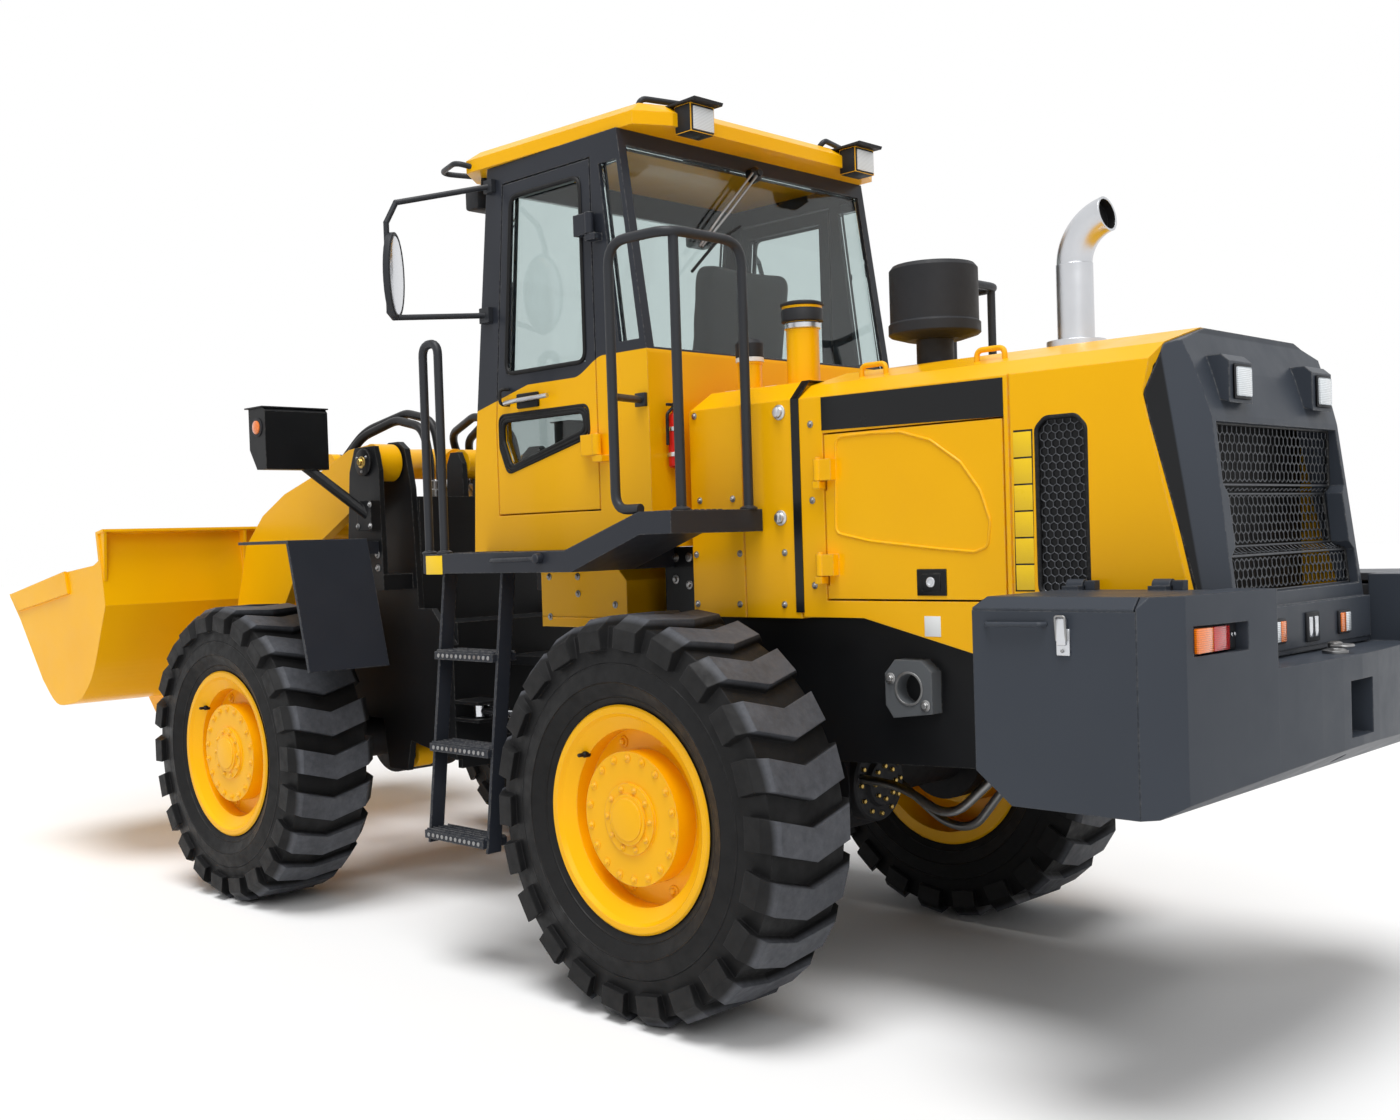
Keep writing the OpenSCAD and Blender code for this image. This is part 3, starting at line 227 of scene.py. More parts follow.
def rubber(name, hub=None):
    """Tyre rubber. With a hub's x it has lug tops in a lighter bluish grey, partly scuffed wear and partly a
    painted sheen, and fine moulded rings on the side walls.
    """
    s = Shader(name)
    base = s.mix(s.noise(14, 6, 0.65), srgb(10, 10, 11), srgb(20, 20, 21))
    edge = s.soft_edge(0.007)
    if hub is not None:
        x = s.math("SUBTRACT", s.axis("X"), hub - OX)
        z = s.math("SUBTRACT", s.axis("Z"), AXLE_Z)
        r = s.math("SQRT", s.math("ADD", s.math("MULTIPLY", x, x), s.math("MULTIPLY", z, z)))
        # Lighter bluish-grey lug tops: scuffed wear, and a painted sheen
        scuff_and_sheen_patches = s.span(s.noise(9, 6, 0.7), 0.25, 0.6, 0.55, 1.0)
        lug_scuff_and_sheen = s.math("MULTIPLY", s.span(r, 0.648, 0.662), scuff_and_sheen_patches)
        base = s.mix(lug_scuff_and_sheen, base, s.mix(s.noise(40, 5, 0.7), srgb(60, 62, 67), srgb(98, 100, 106)))
        dust = s.span(s.noise(5, 4), 0.4, 0.7, 0.0, 0.22)
        base = s.mix(s.math("MULTIPLY", dust, s.span(r, 0.5, 0.64)), base, srgb(60, 60, 61))
        rings = None
        for radius in (0.405, 0.455, 0.515):
            line = s.span(s.math("ABSOLUTE", s.math("SUBTRACT", r, radius)), 0.0, 0.004, 1.0, 0.0)
            rings = line if rings is None else s.math("MAXIMUM", rings, line)
        edge = s.bump(rings, 0.8, 0.004, edge)
    grain = s.bump(s.noise(240, 4), 0.3, 0.0012, edge)
    gloss = s.drift(s.noise(22, 4), 0.45, 0.68)
    return s.set(Base_Color=base, Roughness=gloss, Normal=grain, Specular_IOR_Level=0.22)


def glass(name, rgb):
    """Tinted glass, darker in the low panes of the doors."""
    s = Shader(name)
    smear = s.noise(5, 4)
    below = s.span(s.axis("Z"), 2.11, 2.12, 1.0, 0.0)
    at_side = s.span(s.math("ABSOLUTE", s.axis("Y")), 0.64, 0.65)
    tint = s.mix(smear, shade(rgb, 0.97), shade(rgb, 1.03))
    tint = s.mix(s.math("MULTIPLY", below, at_side), tint, shade(rgb, 0.6))
    return s.set(Base_Color=tint, Roughness=s.drift(smear, 0.0, 0.015), Transmission_Weight=1.0, IOR=1.35)


def lens(name, rgb):
    """Lamp lens with moulded ribs."""
    s = Shader(name)
    ribs = s.node("ShaderNodeTexWave", wave_type="BANDS", bands_direction="Z")
    ribs.inputs["Scale"].default_value = 60
    s.link(s.coord, ribs.inputs["Vector"])
    base = s.mix(ribs.outputs["Fac"], shade(rgb, 0.8), shade(rgb, 1.15))
    return s.set(
        Base_Color=base, Roughness=0.12, Coat_Weight=0.8, Coat_Roughness=0.04,
        Normal=s.bump(ribs.outputs["Fac"], 0.4, 0.002))


def fabric(name, rgb):
    """Woven seat cover."""
    s = Shader(name)
    weave = s.node("ShaderNodeTexChecker")
    weave.inputs["Scale"].default_value = 420
    s.link(s.coord, weave.inputs["Vector"])
    base = s.mix(s.noise(12, 3), shade(rgb, 0.8), shade(rgb, 1.25))
    return s.set(
        Base_Color=base, Roughness=0.85, Sheen_Weight=0.25,
        Normal=s.bump(weave.outputs["Fac"], 0.3, 0.0008, s.soft_edge(0.03)))


def cab_mask(s):
    """1 on the cab's dark upper part: above a border that dips behind the door and along its front."""
    x = s.axis("X")
    rear = s.span(x, 0.43 - OX, 0.60 - OX, 2.262, 2.197, True)
    border = s.math("SUBTRACT", rear, s.span(x, 0.87 - OX, 1.24 - OX, 0.0, 0.087))
    return s.span(s.math("SUBTRACT", s.axis("Z"), border), -0.001, 0.001)


def bracket_mask(s):
    """1 on the two brackets that stand out from the sides of the rear frame."""
    along = s.math("ABSOLUTE", s.math("SUBTRACT", s.axis("X"), -0.78 - OX))
    out = s.span(s.math("ABSOLUTE", s.axis("Y")), 0.5015, 0.5025)
    return s.math("MULTIPLY", s.span(along, 0.12, 0.125, 1.0, 0.0), out)


def tail_shade_mask(s):
    """1 on the outer cheeks of the tail surround, where the near-black second colour is painted shade of
    their recessed faces.
    """
    return s.span(s.math("ABSOLUTE", s.axis("Y")), 0.502, 0.506)


YELLOW = srgb(255, 186, 2)
SLATE = srgb(58, 63, 71)
DARK = srgb(42, 45, 52)
NIGHT = srgb(21, 22, 24)

mats = {
    "yellow": paint("yellow_paint", YELLOW),
    "slate": paint("slate_paint", SLATE, 0.42, 0.05, worn=0.22),
    "dark": paint("dark_paint", DARK, 0.4, 0.05),
    "black": paint("black_paint", NIGHT, 0.42, 0.03, worn=0.3),
    "gloss_black": paint("gloss_black", srgb(22, 23, 25), 0.22, 0.15, 0.002, 0.1),
    "red": paint("red_enamel", srgb(206, 34, 26)),
    "label": paint("blank_label", srgb(248, 206, 40), 0.3, 0.1, 0.001, 0.0),
    "white": paint("white_label", srgb(232, 234, 234), 0.35, 0.1, 0.001, 0.0),
    "cab": paint("cab_two_tone", YELLOW, second=DARK, mask=cab_mask),
    "frame": paint("frame_two_tone", NIGHT, 0.42, 0.03, worn=0.3, second=srgb(92, 95, 98), mask=bracket_mask),
    # The tail's near-black cheeks are painted shade
    "tail": paint("tail_painted_shade", SLATE, 0.42, 0.05, second=srgb(20, 21, 23), mask=tail_shade_mask),
    "cast": moulded("cast_iron", srgb(34, 34, 36), 0.6, 160, 0.5),
    "plastic": moulded("dark_plastic", srgb(36, 37, 40)),
    "rail": moulded("rail_coat", srgb(44, 46, 50), 0.42, 500, 0.12),
    "hose": moulded("hose_rubber", srgb(24, 24, 26), 0.4, 700, 0.2),
    "seal": moulded("window_seal", srgb(16, 16, 17), 0.5),
    "steel": metal("worn_steel", srgb(150, 150, 150), 0.38, stain=srgb(92, 74, 60)),
    "chrome": metal("chromed_rod", srgb(214, 216, 220), 0.12),
    "silver": metal("silver_pipe", srgb(206, 208, 212), 0.3, (1, 1, 1)),
    "brass": metal("brass_fitting", srgb(190, 160, 90), 0.3),
    "wire": metal("grille_wire", srgb(92, 94, 98), 0.42, (9, 9, 9)),
    "rubber": rubber("wiper_rubber"),
    "tyre_front": rubber("tyre_rubber_front", FRONT_AXLE_X),
    "tyre_rear": rubber("tyre_rubber_rear", 0.0),
    "window": glass("tinted_window", (0.68, 0.745, 0.74, 1)),
    "red_lens": lens("red_lens", srgb(190, 24, 20)),
    "amber_lens": lens("amber_lens", srgb(240, 120, 10)),
    "clear_lens": lens("clear_lens", srgb(226, 232, 236)),
    "fabric": fabric("seat_fabric", srgb(46, 47, 51)),
}

LOOK = {
    "yellow": [
        "hood", "hood_door_left", "hood_door_right", "tank", "side_boxes", "cab_roof", "boom", "lift_barrels",
        "bucket", "bucket_edge", "rocker", "link", "tilt_barrel", "rim_front_left", "rim_front_right",
        "rim_rear_left", "rim_rear_right"],
    "slate": [
        "counterweight", "battery_box_left", "battery_box_right", "battery_lid_left",
        "battery_lid_right"],
    "tail": ["tail_surround"],
    "dark": ["platforms", "front_fenders", "ladders"],
    "frame": ["rear_frame"],
    "black": ["front_frame", "headlamps", "rear_grille", "steer_barrel_left", "steer_barrel_right"],
    "cab": ["cab_shell", "cab_door_left", "cab_door_right"],
    "cast": ["rear_axle", "front_axle", "engine"],
    "rail": ["handrails", "mirrors"],
    "plastic": ["precleaner", "console"],
    "seal": ["radiator"],
    "steel": ["drive_shafts"],
    "chrome": ["tilt_rod", "lift_rods", "steer_rod_left", "steer_rod_right"],
    "silver": ["exhaust"],
    "tyre_front": ["tyre_front_left", "tyre_front_right"],
    "tyre_rear": ["tyre_rear_left", "tyre_rear_right"],
    "window": ["cab_glass", "door_glass_left", "door_glass_right"],
    "fabric": ["seat"],
    "red_lens": ["rear_lamps"],
}
for look, names in LOOK.items():
    for name in names:
        nodes[name].data.materials.clear()
        nodes[name].data.materials.append(mats[look])

# Camera at the photograph's angle

PHOTO_WIDTH, PHOTO_HEIGHT = 1400, 1120  # pixels
FOCAL_PX = 1467.30
CENTRE_PX = (697.115, 572.358)  # where the camera's axis meets the photograph
CAMERA_PLACE = (-5.0363, 4.2640, 1.5839)
YAW, PITCH, ROLL = (math.radians(a) for a in (-45.224, -1.287, -1.819))
SENSOR_MM = 36

cam = bpy.data.objects.new("camera", bpy.data.cameras.new("camera"))
scene.collection.objects.link(cam)
scene.camera = cam
ahead = Vector((math.cos(PITCH) * math.cos(YAW), math.cos(PITCH) * math.sin(YAW), math.sin(PITCH)))
level_right = ahead.cross(Vector(UP)).normalized()
level_up = level_right.cross(ahead)
right = math.cos(ROLL) * level_right + math.sin(ROLL) * level_up
above = -math.sin(ROLL) * level_right + math.cos(ROLL) * level_up
cam.matrix_world = Matrix.Translation(CAMERA_PLACE) @ Matrix((right, above, -ahead)).transposed().to_4x4()
cam.data.sensor_width = SENSOR_MM
cam.data.lens = SENSOR_MM * FOCAL_PX / PHOTO_WIDTH
cam.data.shift_x = (PHOTO_WIDTH / 2 - CENTRE_PX[0]) / PHOTO_WIDTH
cam.data.shift_y = (CENTRE_PX[1] - PHOTO_HEIGHT / 2) / PHOTO_WIDTH
cam.data.clip_end = 300

# Floor, background and soft light

FLOOR_RADIUS = 90
ground = bpy.data.meshes.new("floor")
bm = bmesh.new()
bmesh.ops.create_circle(bm, cap_ends=True, radius=FLOOR_RADIUS, segments=64)
bm.to_mesh(ground)
bm.free()
floor = bpy.data.objects.new("floor", ground)
scene.collection.objects.link(floor)
pale = Shader("floor_white")
pale.set(Base_Color=pale.mix(pale.noise(0.4, 2), (0.93, 0.93, 0.93, 1), (0.95, 0.95, 0.95, 1)), Roughness=0.9)
ground.materials.append(pale.mat)

WORLD_LIGHT = 0.2  # strength for diffuse light; the background itself is white
world = bpy.data.worlds.new("studio")
scene.world = world
world.use_nodes = True
tree = world.node_tree
background = tree.nodes["Background"]
paths = tree.nodes.new("ShaderNodeLightPath")
seen = paths.outputs["Is Camera Ray"]
for ray in ("Is Transmission Ray", "Is Glossy Ray"):
    either = tree.nodes.new("ShaderNodeMath")
    either.operation = "MAXIMUM"
    tree.links.new(seen, either.inputs[0])
    tree.links.new(paths.outputs[ray], either.inputs[1])
    seen = either.outputs[0]
strength = tree.nodes.new("ShaderNodeMapRange")
tree.links.new(seen, strength.inputs["Value"])
strength.inputs["To Min"].default_value = WORLD_LIGHT
strength.inputs["To Max"].default_value = 1.0
tree.links.new(strength.outputs[0], background.inputs["Strength"])
background.inputs["Color"].default_value = (1, 1, 1, 1)

for name, energy, place, angle in (("key", 2.3, (-1, 2, 8), 0.5), ("fill", 1.0, (-5, 4, 5.5), 0.7)):
    data = bpy.data.lights.new(name, "SUN")
    data.energy = energy
    data.angle = angle
    lamp = bpy.data.objects.new(name, data)
    lamp.location = place
    lamp.rotation_mode = "QUATERNION"
    lamp.rotation_quaternion = (-Vector(place)).to_track_quat("-Z", "Y")
    scene.collection.objects.link(lamp)
scene.view_settings.view_transform = "Standard"

# Mesh helpers: a piece gathers simple solids; points are (x from the rear axle, y, z)

THIN = 0.0004  # least radius of a turned ring
NEAR = 1e-5  # path points closer than this are one
SHARP = math.radians(32)  # steeper edges are shaded hard


def mirror(s, pts):
    """Points of the left side, or of the right one where s is -1."""
    return [(x, s * y, z) for x, y, z in pts]


def round_path(pts, bend, closed=False):
    """The path with its corners rounded by curves of about the radius bend."""
    pts = [Vector(p) for p in pts]
    out = []
    for i, p in enumerate(pts):
        if not closed and i in (0, len(pts) - 1) or bend <= 0:
            out.append(p)
            continue
        a, b = pts[i - 1] - p, pts[(i + 1) % len(pts)] - p
        half = a.angle(b) / 2
        cut = min(bend / max(math.tan(half), 0.05), a.length * 0.49, b.length * 0.49)
        s, e = p + a.normalized() * cut, p + b.normalized() * cut
        steps = (0, 0.17, 0.33, 0.5, 0.67, 0.83, 1)
        out += [s * (1 - t) ** 2 + p * 2 * t * (1 - t) + e * t ** 2 for t in steps]
    return out


class Piece:
    """One object of the scene. Each solid takes the piece's main look, or the look that its call names."""

    def __init__(self, name, body, look):
        self.name, self.body, self.looks, self.bm = name, body, [look], bmesh.new()

    def look_index(self, look):
        if look is None:
            return 0
        if look not in self.looks:
            self.looks.append(look)
        return self.looks.index(look)

    def mesh(self, verts, faces, look=None, bevel=0.0):
        k = self.look_index(look)
        vs = [self.bm.verts.new((v[0] - OX, v[1], v[2])) for v in verts]
        fs = [self.bm.faces.new([vs[i] for i in f]) for f in faces]
        for f in fs:
            f.material_index = k
        if bevel:
            edges = list({e for f in fs for e in f.edges})
            made = bmesh.ops.bevel(self.bm, geom=edges, offset=bevel, segments=2, affect="EDGES", profile=0.5)
            for f in made["faces"]:
                f.material_index = k

    def box(self, lo, hi, look=None, bevel=0.002):
        v = [(x, y, z) for x in (lo[0], hi[0]) for y in (lo[1], hi[1]) for z in (lo[2], hi[2])]
        faces = [(0, 1, 3, 2), (4, 6, 7, 5), (0, 4, 5, 1), (2, 3, 7, 6), (0, 2, 6, 4), (1, 5, 7, 3)]
        self.mesh(v, faces, look, bevel)

    def side_box(self, s, x, y, z, look=None, bevel=0.002):
        """A box from three ranges, with y counted outwards on side s."""
        a, b = sorted((s * y[0], s * y[1]))
        self.box((x[0], a, z[0]), (x[1], b, z[1]), look, bevel)

    def prism(self, pts, axis, a, b, look=None, bevel=0.0):
        """A flat outline drawn out along an axis from a to b."""
        place = {
            "x": lambda p, t: (t, p[0], p[1]),
            "y": lambda p, t: (p[0], t, p[1]),
            "z": lambda p, t: (p[0], p[1], t)}[axis]
        n = len(pts)
        sides = [(i, (i + 1) % n, n + (i + 1) % n, n + i) for i in range(n)]
        ends = [tuple(range(n - 1, -1, -1)), tuple(range(n, 2 * n))]
        self.mesh([place(p, t) for t in (a, b) for p in pts], ends + sides, look, bevel)

    def side_plate(self, s, pts, y, look=None, bevel=0.0):
        """An (x, z) outline between two y, counted outwards on side s."""
        a, b = sorted((s * y[0], s * y[1]))
        self.prism(pts, "y", a, b, look, bevel)

    def rings(self, rows, look=None, closed=False):
        """Skins rows of points of one length; open ends are capped."""
        n, m = len(rows[0]), len(rows)
        verts = [p for row in rows for p in row]
        faces = []
        for i in range(m if closed else m - 1):
            here, after = i * n, (i + 1) % m * n
            faces += [(here + j, here + (j + 1) % n, after + (j + 1) % n, after + j) for j in range(n)]
        if not closed:
            faces += [tuple(range(n - 1, -1, -1)), tuple(range(len(verts) - n, len(verts)))]
        self.mesh(verts, faces, look)

    def lathe(self, centre, axis, profile, seg=24, look=None, closed=False):
        """A profile of (radius, distance along the axis) turned about the axis."""
        c, d = Vector(centre), Vector(axis).normalized()
        u = d.orthogonal().normalized()
        w = d.cross(u)
        turn = [2 * math.pi * i / seg for i in range(seg)]
        spokes = [u * math.cos(a) + w * math.sin(a) for a in turn]
        rows = [[c + d * t + spoke * max(r, THIN) for spoke in spokes] for r, t in profile]
        self.rings(rows, look, closed)

    def tube(self, pts, r, bend=0.05, look=None, seg=10, closed=False):
        """A round bar along a path."""
        path = round_path(pts, bend, closed)
        path = [p for i, p in enumerate(path) if i == 0 or (p - path[i - 1]).length > NEAR]
        if closed and (path[0] - path[-1]).length < NEAR:
            path.pop()
        m = len(path)
        turn = [2 * math.pi * j / seg for j in range(seg)]
        rows, u = [], None
        for i, p in enumerate(path):
            a = path[(i - 1) % m] if closed else path[max(i - 1, 0)]
            b = path[(i + 1) % m] if closed else path[min(i + 1, m - 1)]
            d = (b - a).normalized()
            u = d.orthogonal().normalized() if u is None else (u - d * u.dot(d)).normalized()
            w = d.cross(u)
            rows.append([p + (u * math.cos(t) + w * math.sin(t)) * r for t in turn])
        self.rings(rows, look, closed)

    def bolt(self, at, axis, r=0.009, look=None, washer=True):
        if washer:
            self.lathe(at, axis, [(r * 1.7, 0), (r * 1.7, r * 0.3), (r * 1.5, r * 0.4)], 16, look)
        self.lathe(at, axis, [(r, 0), (r, r * 1.0), (r * 0.82, r * 1.2)], 6, look)

    def done(self, replaces=(), bend=None):
        """Makes the object. With bend = (body, body, start, end) its transform is baked and it stays on no
        body; the tuple's values are not used.
        """
        bmesh.ops.recalc_face_normals(self.bm, faces=self.bm.faces)
        me = bpy.data.meshes.new(self.name)
        self.bm.to_mesh(me)
        self.bm.free()
        for look in self.looks:
            me.materials.append(mats[look])
        me.polygons.foreach_set("use_smooth", [True] * len(me.polygons))
        me.set_sharp_from_angle(angle=SHARP)
        o = bpy.data.objects.new(self.name, me)
        scene.collection.objects.link(o)
        if bend:
            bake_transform(o)
        else:
            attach(o, self.body)
        if replaces:
            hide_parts(*replaces)


def inside(poly, x, y):
    hit = False
    for (x1, y1), (x2, y2) in zip(poly, poly[1:] + poly[:1]):
        if (y1 > y) != (y2 > y) and x < (x2 - x1) * (y - y1) / (y2 - y1) + x1:
            hit = not hit
    return hit


def honeycomb(p, poly, cell, wire, place, look=None):
    """Hexagon wire mesh over a flat outline; place turns outline coordinates into a point."""
    side = cell / math.sqrt(3)
    turn = [math.radians(60 * n) for n in range(6)]
    corners = [(side * math.sin(a), side * math.cos(a)) for a in turn]
    xs, ys = [q[0] for q in poly], [q[1] for q in poly]
    seen = set()
    for j in range(int((max(ys) - min(ys)) / (1.5 * side)) + 2):
        for i in range(int((max(xs) - min(xs)) / cell) + 2):
            cx, cy = min(xs) + (i + 0.5 * (j % 2)) * cell, min(ys) + j * 1.5 * side
            ring = [(cx + x, cy + y) for x, y in corners]
            for a, b in zip(ring, ring[1:] + ring[:1]):
                # The middle of the side, in whole millimetres
                key = (round((a[0] + b[0]) * 500), round((a[1] + b[1]) * 500))
                if key not in seen and inside(poly, *a) and inside(poly, *b):
                    seen.add(key)
                    p.tube([place(*a), place(*b)], wire, 0, look, 4)


# Handrails as bent tube, on foot plates

RAIL_R = 0.017
GATE = [
    (-0.03, 0.97, 1.69), (0.09, 0.97, 1.69), (0.09, 0.97, 2.58), (-0.18, 0.955, 2.58), (-0.18, 0.61, 2.58),
    (-0.18, 0.61, 1.682)]
GATE_POST = [(-0.165, 0.915, 1.682), (-0.165, 0.915, 2.575)]
GATE_STAY = [(0.09, 0.968, 2.068), (0.23, 0.712, 2.082)]
FRONT_LOOP = [(1.062, 0.975, 1.561), (1.062, 0.975, 2.36), (1.16, 0.975, 2.36), (1.16, 0.975, 1.561)]
RAIL_FEET = (
    (-0.18, 0.61, REAR_DECK_Z), (-0.165, 0.915, REAR_DECK_Z), (1.062, 0.975, FRONT_DECK_Z),
    (1.16, 0.975, FRONT_DECK_Z))
p = Piece("handrail_tubes", "rear", "rail")
for _, s in SIDES:
    p.tube(mirror(s, GATE), RAIL_R, 0.085, seg=14)
    p.tube(mirror(s, GATE_POST), RAIL_R, 0, seg=14)
    p.tube(mirror(s, GATE_STAY), 0.013, 0, seg=12)
    p.side_box(s, (0.205, 0.255), (CAB_Y + 0.0003, CAB_Y + 0.016), (2.058, 2.106))
    p.tube(mirror(s, FRONT_LOOP), RAIL_R, 0.047, seg=14)
    for x, y, z in RAIL_FEET:
        p.lathe((x, s * y, z), UP, [(0.03, 0), (0.03, 0.006), (0.02, 0.012)], 18)
        p.bolt((x + 0.022, s * y, z + 0.006), UP, 0.005, "steel", False)
p.done(["handrails"])

# Wheels: rings of bolts, rim of the centre cap and valve

BOLT_RINGS = (  # count, first angle, ring radius, distance from the wheel's middle, bolt radius
    (18, 8, 0.2, 0.152, 0.0085), (10, 0, 0.101, 0.162, 0.007), (8, 20, 0.262, 0.07, 0.012))
HUB_CAP = [(0.072, 0), (0.07, 0.005), (0.045, 0.008), (0.0, 0.009)]
VALVE = [(0.011, -0.01), (0.011, 0.012), (0.007, 0.018), (0.007, 0.034), (0.005, 0.038)]


def wheel_point(x, s, radius, degrees, out):
    a = math.radians(degrees)
    return (x + radius * math.cos(a), s * (WHEEL_Y + out), AXLE_Z + radius * math.sin(a))


for where, x in (("front", FRONT_AXLE_X), ("rear", 0.0)):
    for side, s in SIDES:
        p = Piece(f"hub_bolts_{where}_{side}", f"wheel_{where}_{side}", "yellow")
        for count, first, radius, out, size in BOLT_RINGS:
            for n in range(count):
                p.bolt(wheel_point(x, s, radius, 360 / count * n + first, out), (0, s, 0), size)
        p.lathe(wheel_point(x, s, 0, 0, 0.169), (0, s, 0), HUB_CAP, 40)
        p.lathe(wheel_point(x, s, 0.3, 40, 0.135), (0, s, 0), VALVE, 12, "black")
        p.done()

# Hood: dark stripe, vents with wire mesh, blank labels, lifting loops; bead and lock on its doors

STRIPE = [(-0.468, 1.926), (-1.16, 1.916), (-1.16, 2.03), (-0.468, 2.034)]
LABEL_STRIP = [(-1.186, 1.402), (-1.25, 1.402), (-1.256, 1.872), (-1.192, 1.872)]
LABEL_X = (-1.2515, -1.1905)
LABEL_Z, LABEL_TALL, LABEL_STEP = 1.406, 0.0725, 0.0775
VENT = [
    (-1.427, 1.393), (-1.267, 1.393), (-1.267, 1.874), (-1.297, 1.902), (-1.397, 1.902), (-1.427, 1.869)]
HOOD_BOLTS = ((-1.22, 1.28), (-1.36, 1.29), (-1.5, 1.3), (-0.42, 1.42), (-0.42, 1.7), (-0.42, 1.95))
LIFT_LOOP = [(0.05, 2.09), (0.05, 2.138), (-0.05, 2.138), (-0.05, 2.09)]  # x from its middle, z
LIFT_LOOP_Y = 0.42
DOOR_BEAD = [
    (-0.525, 1.9), (-0.515, 1.59), (-0.653, 1.561), (-0.922, 1.531), (-1.048, 1.52), (-1.095, 1.535),
    (-1.104, 1.614), (-1.072, 1.704), (-1.004, 1.792), (-0.896, 1.865), (-0.784, 1.898), (-0.666, 1.903)]
LOCK = [(0.016, 0), (0.016, 0.004), (0.009, 0.005), (0.009, 0.003), (0, 0.003)]
for side, s in SIDES:
    p = Piece(f"hood_trim_{side}", "rear", "gloss_black")
    p.side_plate(s, STRIPE, (HOOD_Y - SUNK, HOOD_Y + 0.0018))
    p.side_plate(s, LABEL_STRIP, (HOOD_Y - SUNK, HOOD_Y + 0.0006), "black")
    for n in range(6):
        z = LABEL_Z + LABEL_STEP * n
        p.side_box(s, LABEL_X, (HOOD_Y, HOOD_Y + 0.0015), (z, z + LABEL_TALL), "label", 0.0005)
    # A black plate at the bottom of each vent's recess: painted shade of the space behind the mesh
    p.side_plate(s, VENT, (HOOD_Y - 0.0116, HOOD_Y - 0.0106), "black")
    p.tube([(x, s * 0.556, z) for x, z in VENT], 0.0075, 0.03, "black", 10, True)
    honeycomb(p, VENT, 0.025, 0.0015, lambda a, b: (a, s * 0.5535, b), "wire")
    p.side_box(s, (-0.917, -0.857), (HOOD_Y - SUNK, HOOD_Y + 0.0012), (1.262, 1.325), "white", 0.0004)
    for x in (-0.58, -1.03):
        p.tube([(x + dx, s * LIFT_LOOP_Y, z) for dx, z in LIFT_LOOP], 0.009, 0.022, "yellow")
    for x, z in HOOD_BOLTS:
        p.bolt((x, s * HOOD_Y, z), (0, s, 0), 0.007, "steel")
    p.done()
    p = Piece(f"hood_door_trim_{side}", f"hood_door_{side}", "yellow")
    p.tube([(x, s * (HOOD_Y - SUNK), z) for x, z in DOOR_BEAD], 0.005, 0.03, closed=True)
    p.side_box(s, (-0.944, -0.834), (HOOD_Y - SUNK, HOOD_Y + 0.004), (1.388, 1.47), "black", 0.003)
    p.side_box(s, (-0.924, -0.854), (HOOD_Y + 0.0025, HOOD_Y + 0.0065), (1.402, 1.456), "black", 0.003)
    p.lathe((-0.889, s * 0.566, 1.43), (0, s, 0), LOCK, 20, "silver")
    p.done()

# Tank: band over its seam with the hood, two necks with caps, bolts, latches and blank labels

BAND_IN = [(0.5595, 1.33), (0.5595, 2.0375), (0.4995, 2.0995)]
BAND_OUT = [(0.5635, 1.33), (0.5635, 2.0395), (0.501, 2.1035)]
BIG_CAP = [
    (0.066, 0), (0.073, 0.002), (0.073, 0.04), (0.066, 0.052), (0.076, 0.056), (0.076, 0.064), (0.06, 0.07),
    (0.02, 0.072)]
BIG_CLAMP = [(0.0585, 0), (0.064, 0.003), (0.064, 0.02), (0.0585, 0.024)]
SMALL_NECK = [(0.055, 0), (0.055, 0.012), (0.042, 0.016), (0.042, 0.1), (0.046, 0.102), (0.046, 0.112)]
SMALL_RING = [(0.05, 0), (0.05, 0.014), (0.047, 0.016)]
SMALL_CAP = [(0.046, 0), (0.05, 0.004), (0.05, 0.05), (0.038, 0.064), (0.01, 0.067)]
TANK_BOLTS = (
    (0.115, 2.02), (0.125, 1.53), (-0.086, 1.53), (-0.292, 1.53), (0.125, 1.355), (-0.08, 1.355),
    (-0.285, 1.355), (-0.06, 1.72), (0.1, 1.72))
TURN_LATCH = [(0.026, 0), (0.026, 0.004), (0.018, 0.007), (0.018, 0.016), (0.008, 0.018)]
p = Piece("tank_trim", "rear", "gloss_black")
outer = BAND_OUT + [(-y, z) for y, z in BAND_OUT[::-1]]
inner = [(-y, z) for y, z in BAND_IN] + BAND_IN[::-1]
p.prism(outer + inner, "x", -0.372, -0.338)
p.lathe((-0.22, 0.35, 2.326), UP, BIG_CAP, 36, "plastic")
p.lathe((-0.22, 0.35, 2.3), UP, BIG_CLAMP, 36, "silver")
p.lathe((-0.05, 0.44, 2.09), UP, SMALL_NECK, 28, "yellow")
p.lathe((-0.05, 0.44, 2.2), UP, SMALL_RING, 28, "white")
p.lathe((-0.05, 0.44, 2.214), UP, SMALL_CAP, 28, "plastic")
for _, s in SIDES:
    for x, z in TANK_BOLTS:
        p.bolt((x, s * HOOD_Y, z), (0, s, 0), 0.007, "steel")
    for x, z in ((-0.286, 2.0), (-0.28, 1.647)):
        p.lathe((x, s * HOOD_Y, z), (0, s, 0), TURN_LATCH, 24, "silver")
        p.side_box(s, (x - 0.005, x + 0.005), (0.575, 0.582), (z - 0.016, z + 0.016), "silver")
    for x in (0.02, -0.17):
        p.side_box(s, (x - 0.05, x), (0.478, 0.499), (2.0995, 2.1012), "white", 0.0004)
p.done()

# Tail: wire grille, lamps, socket and tow pin

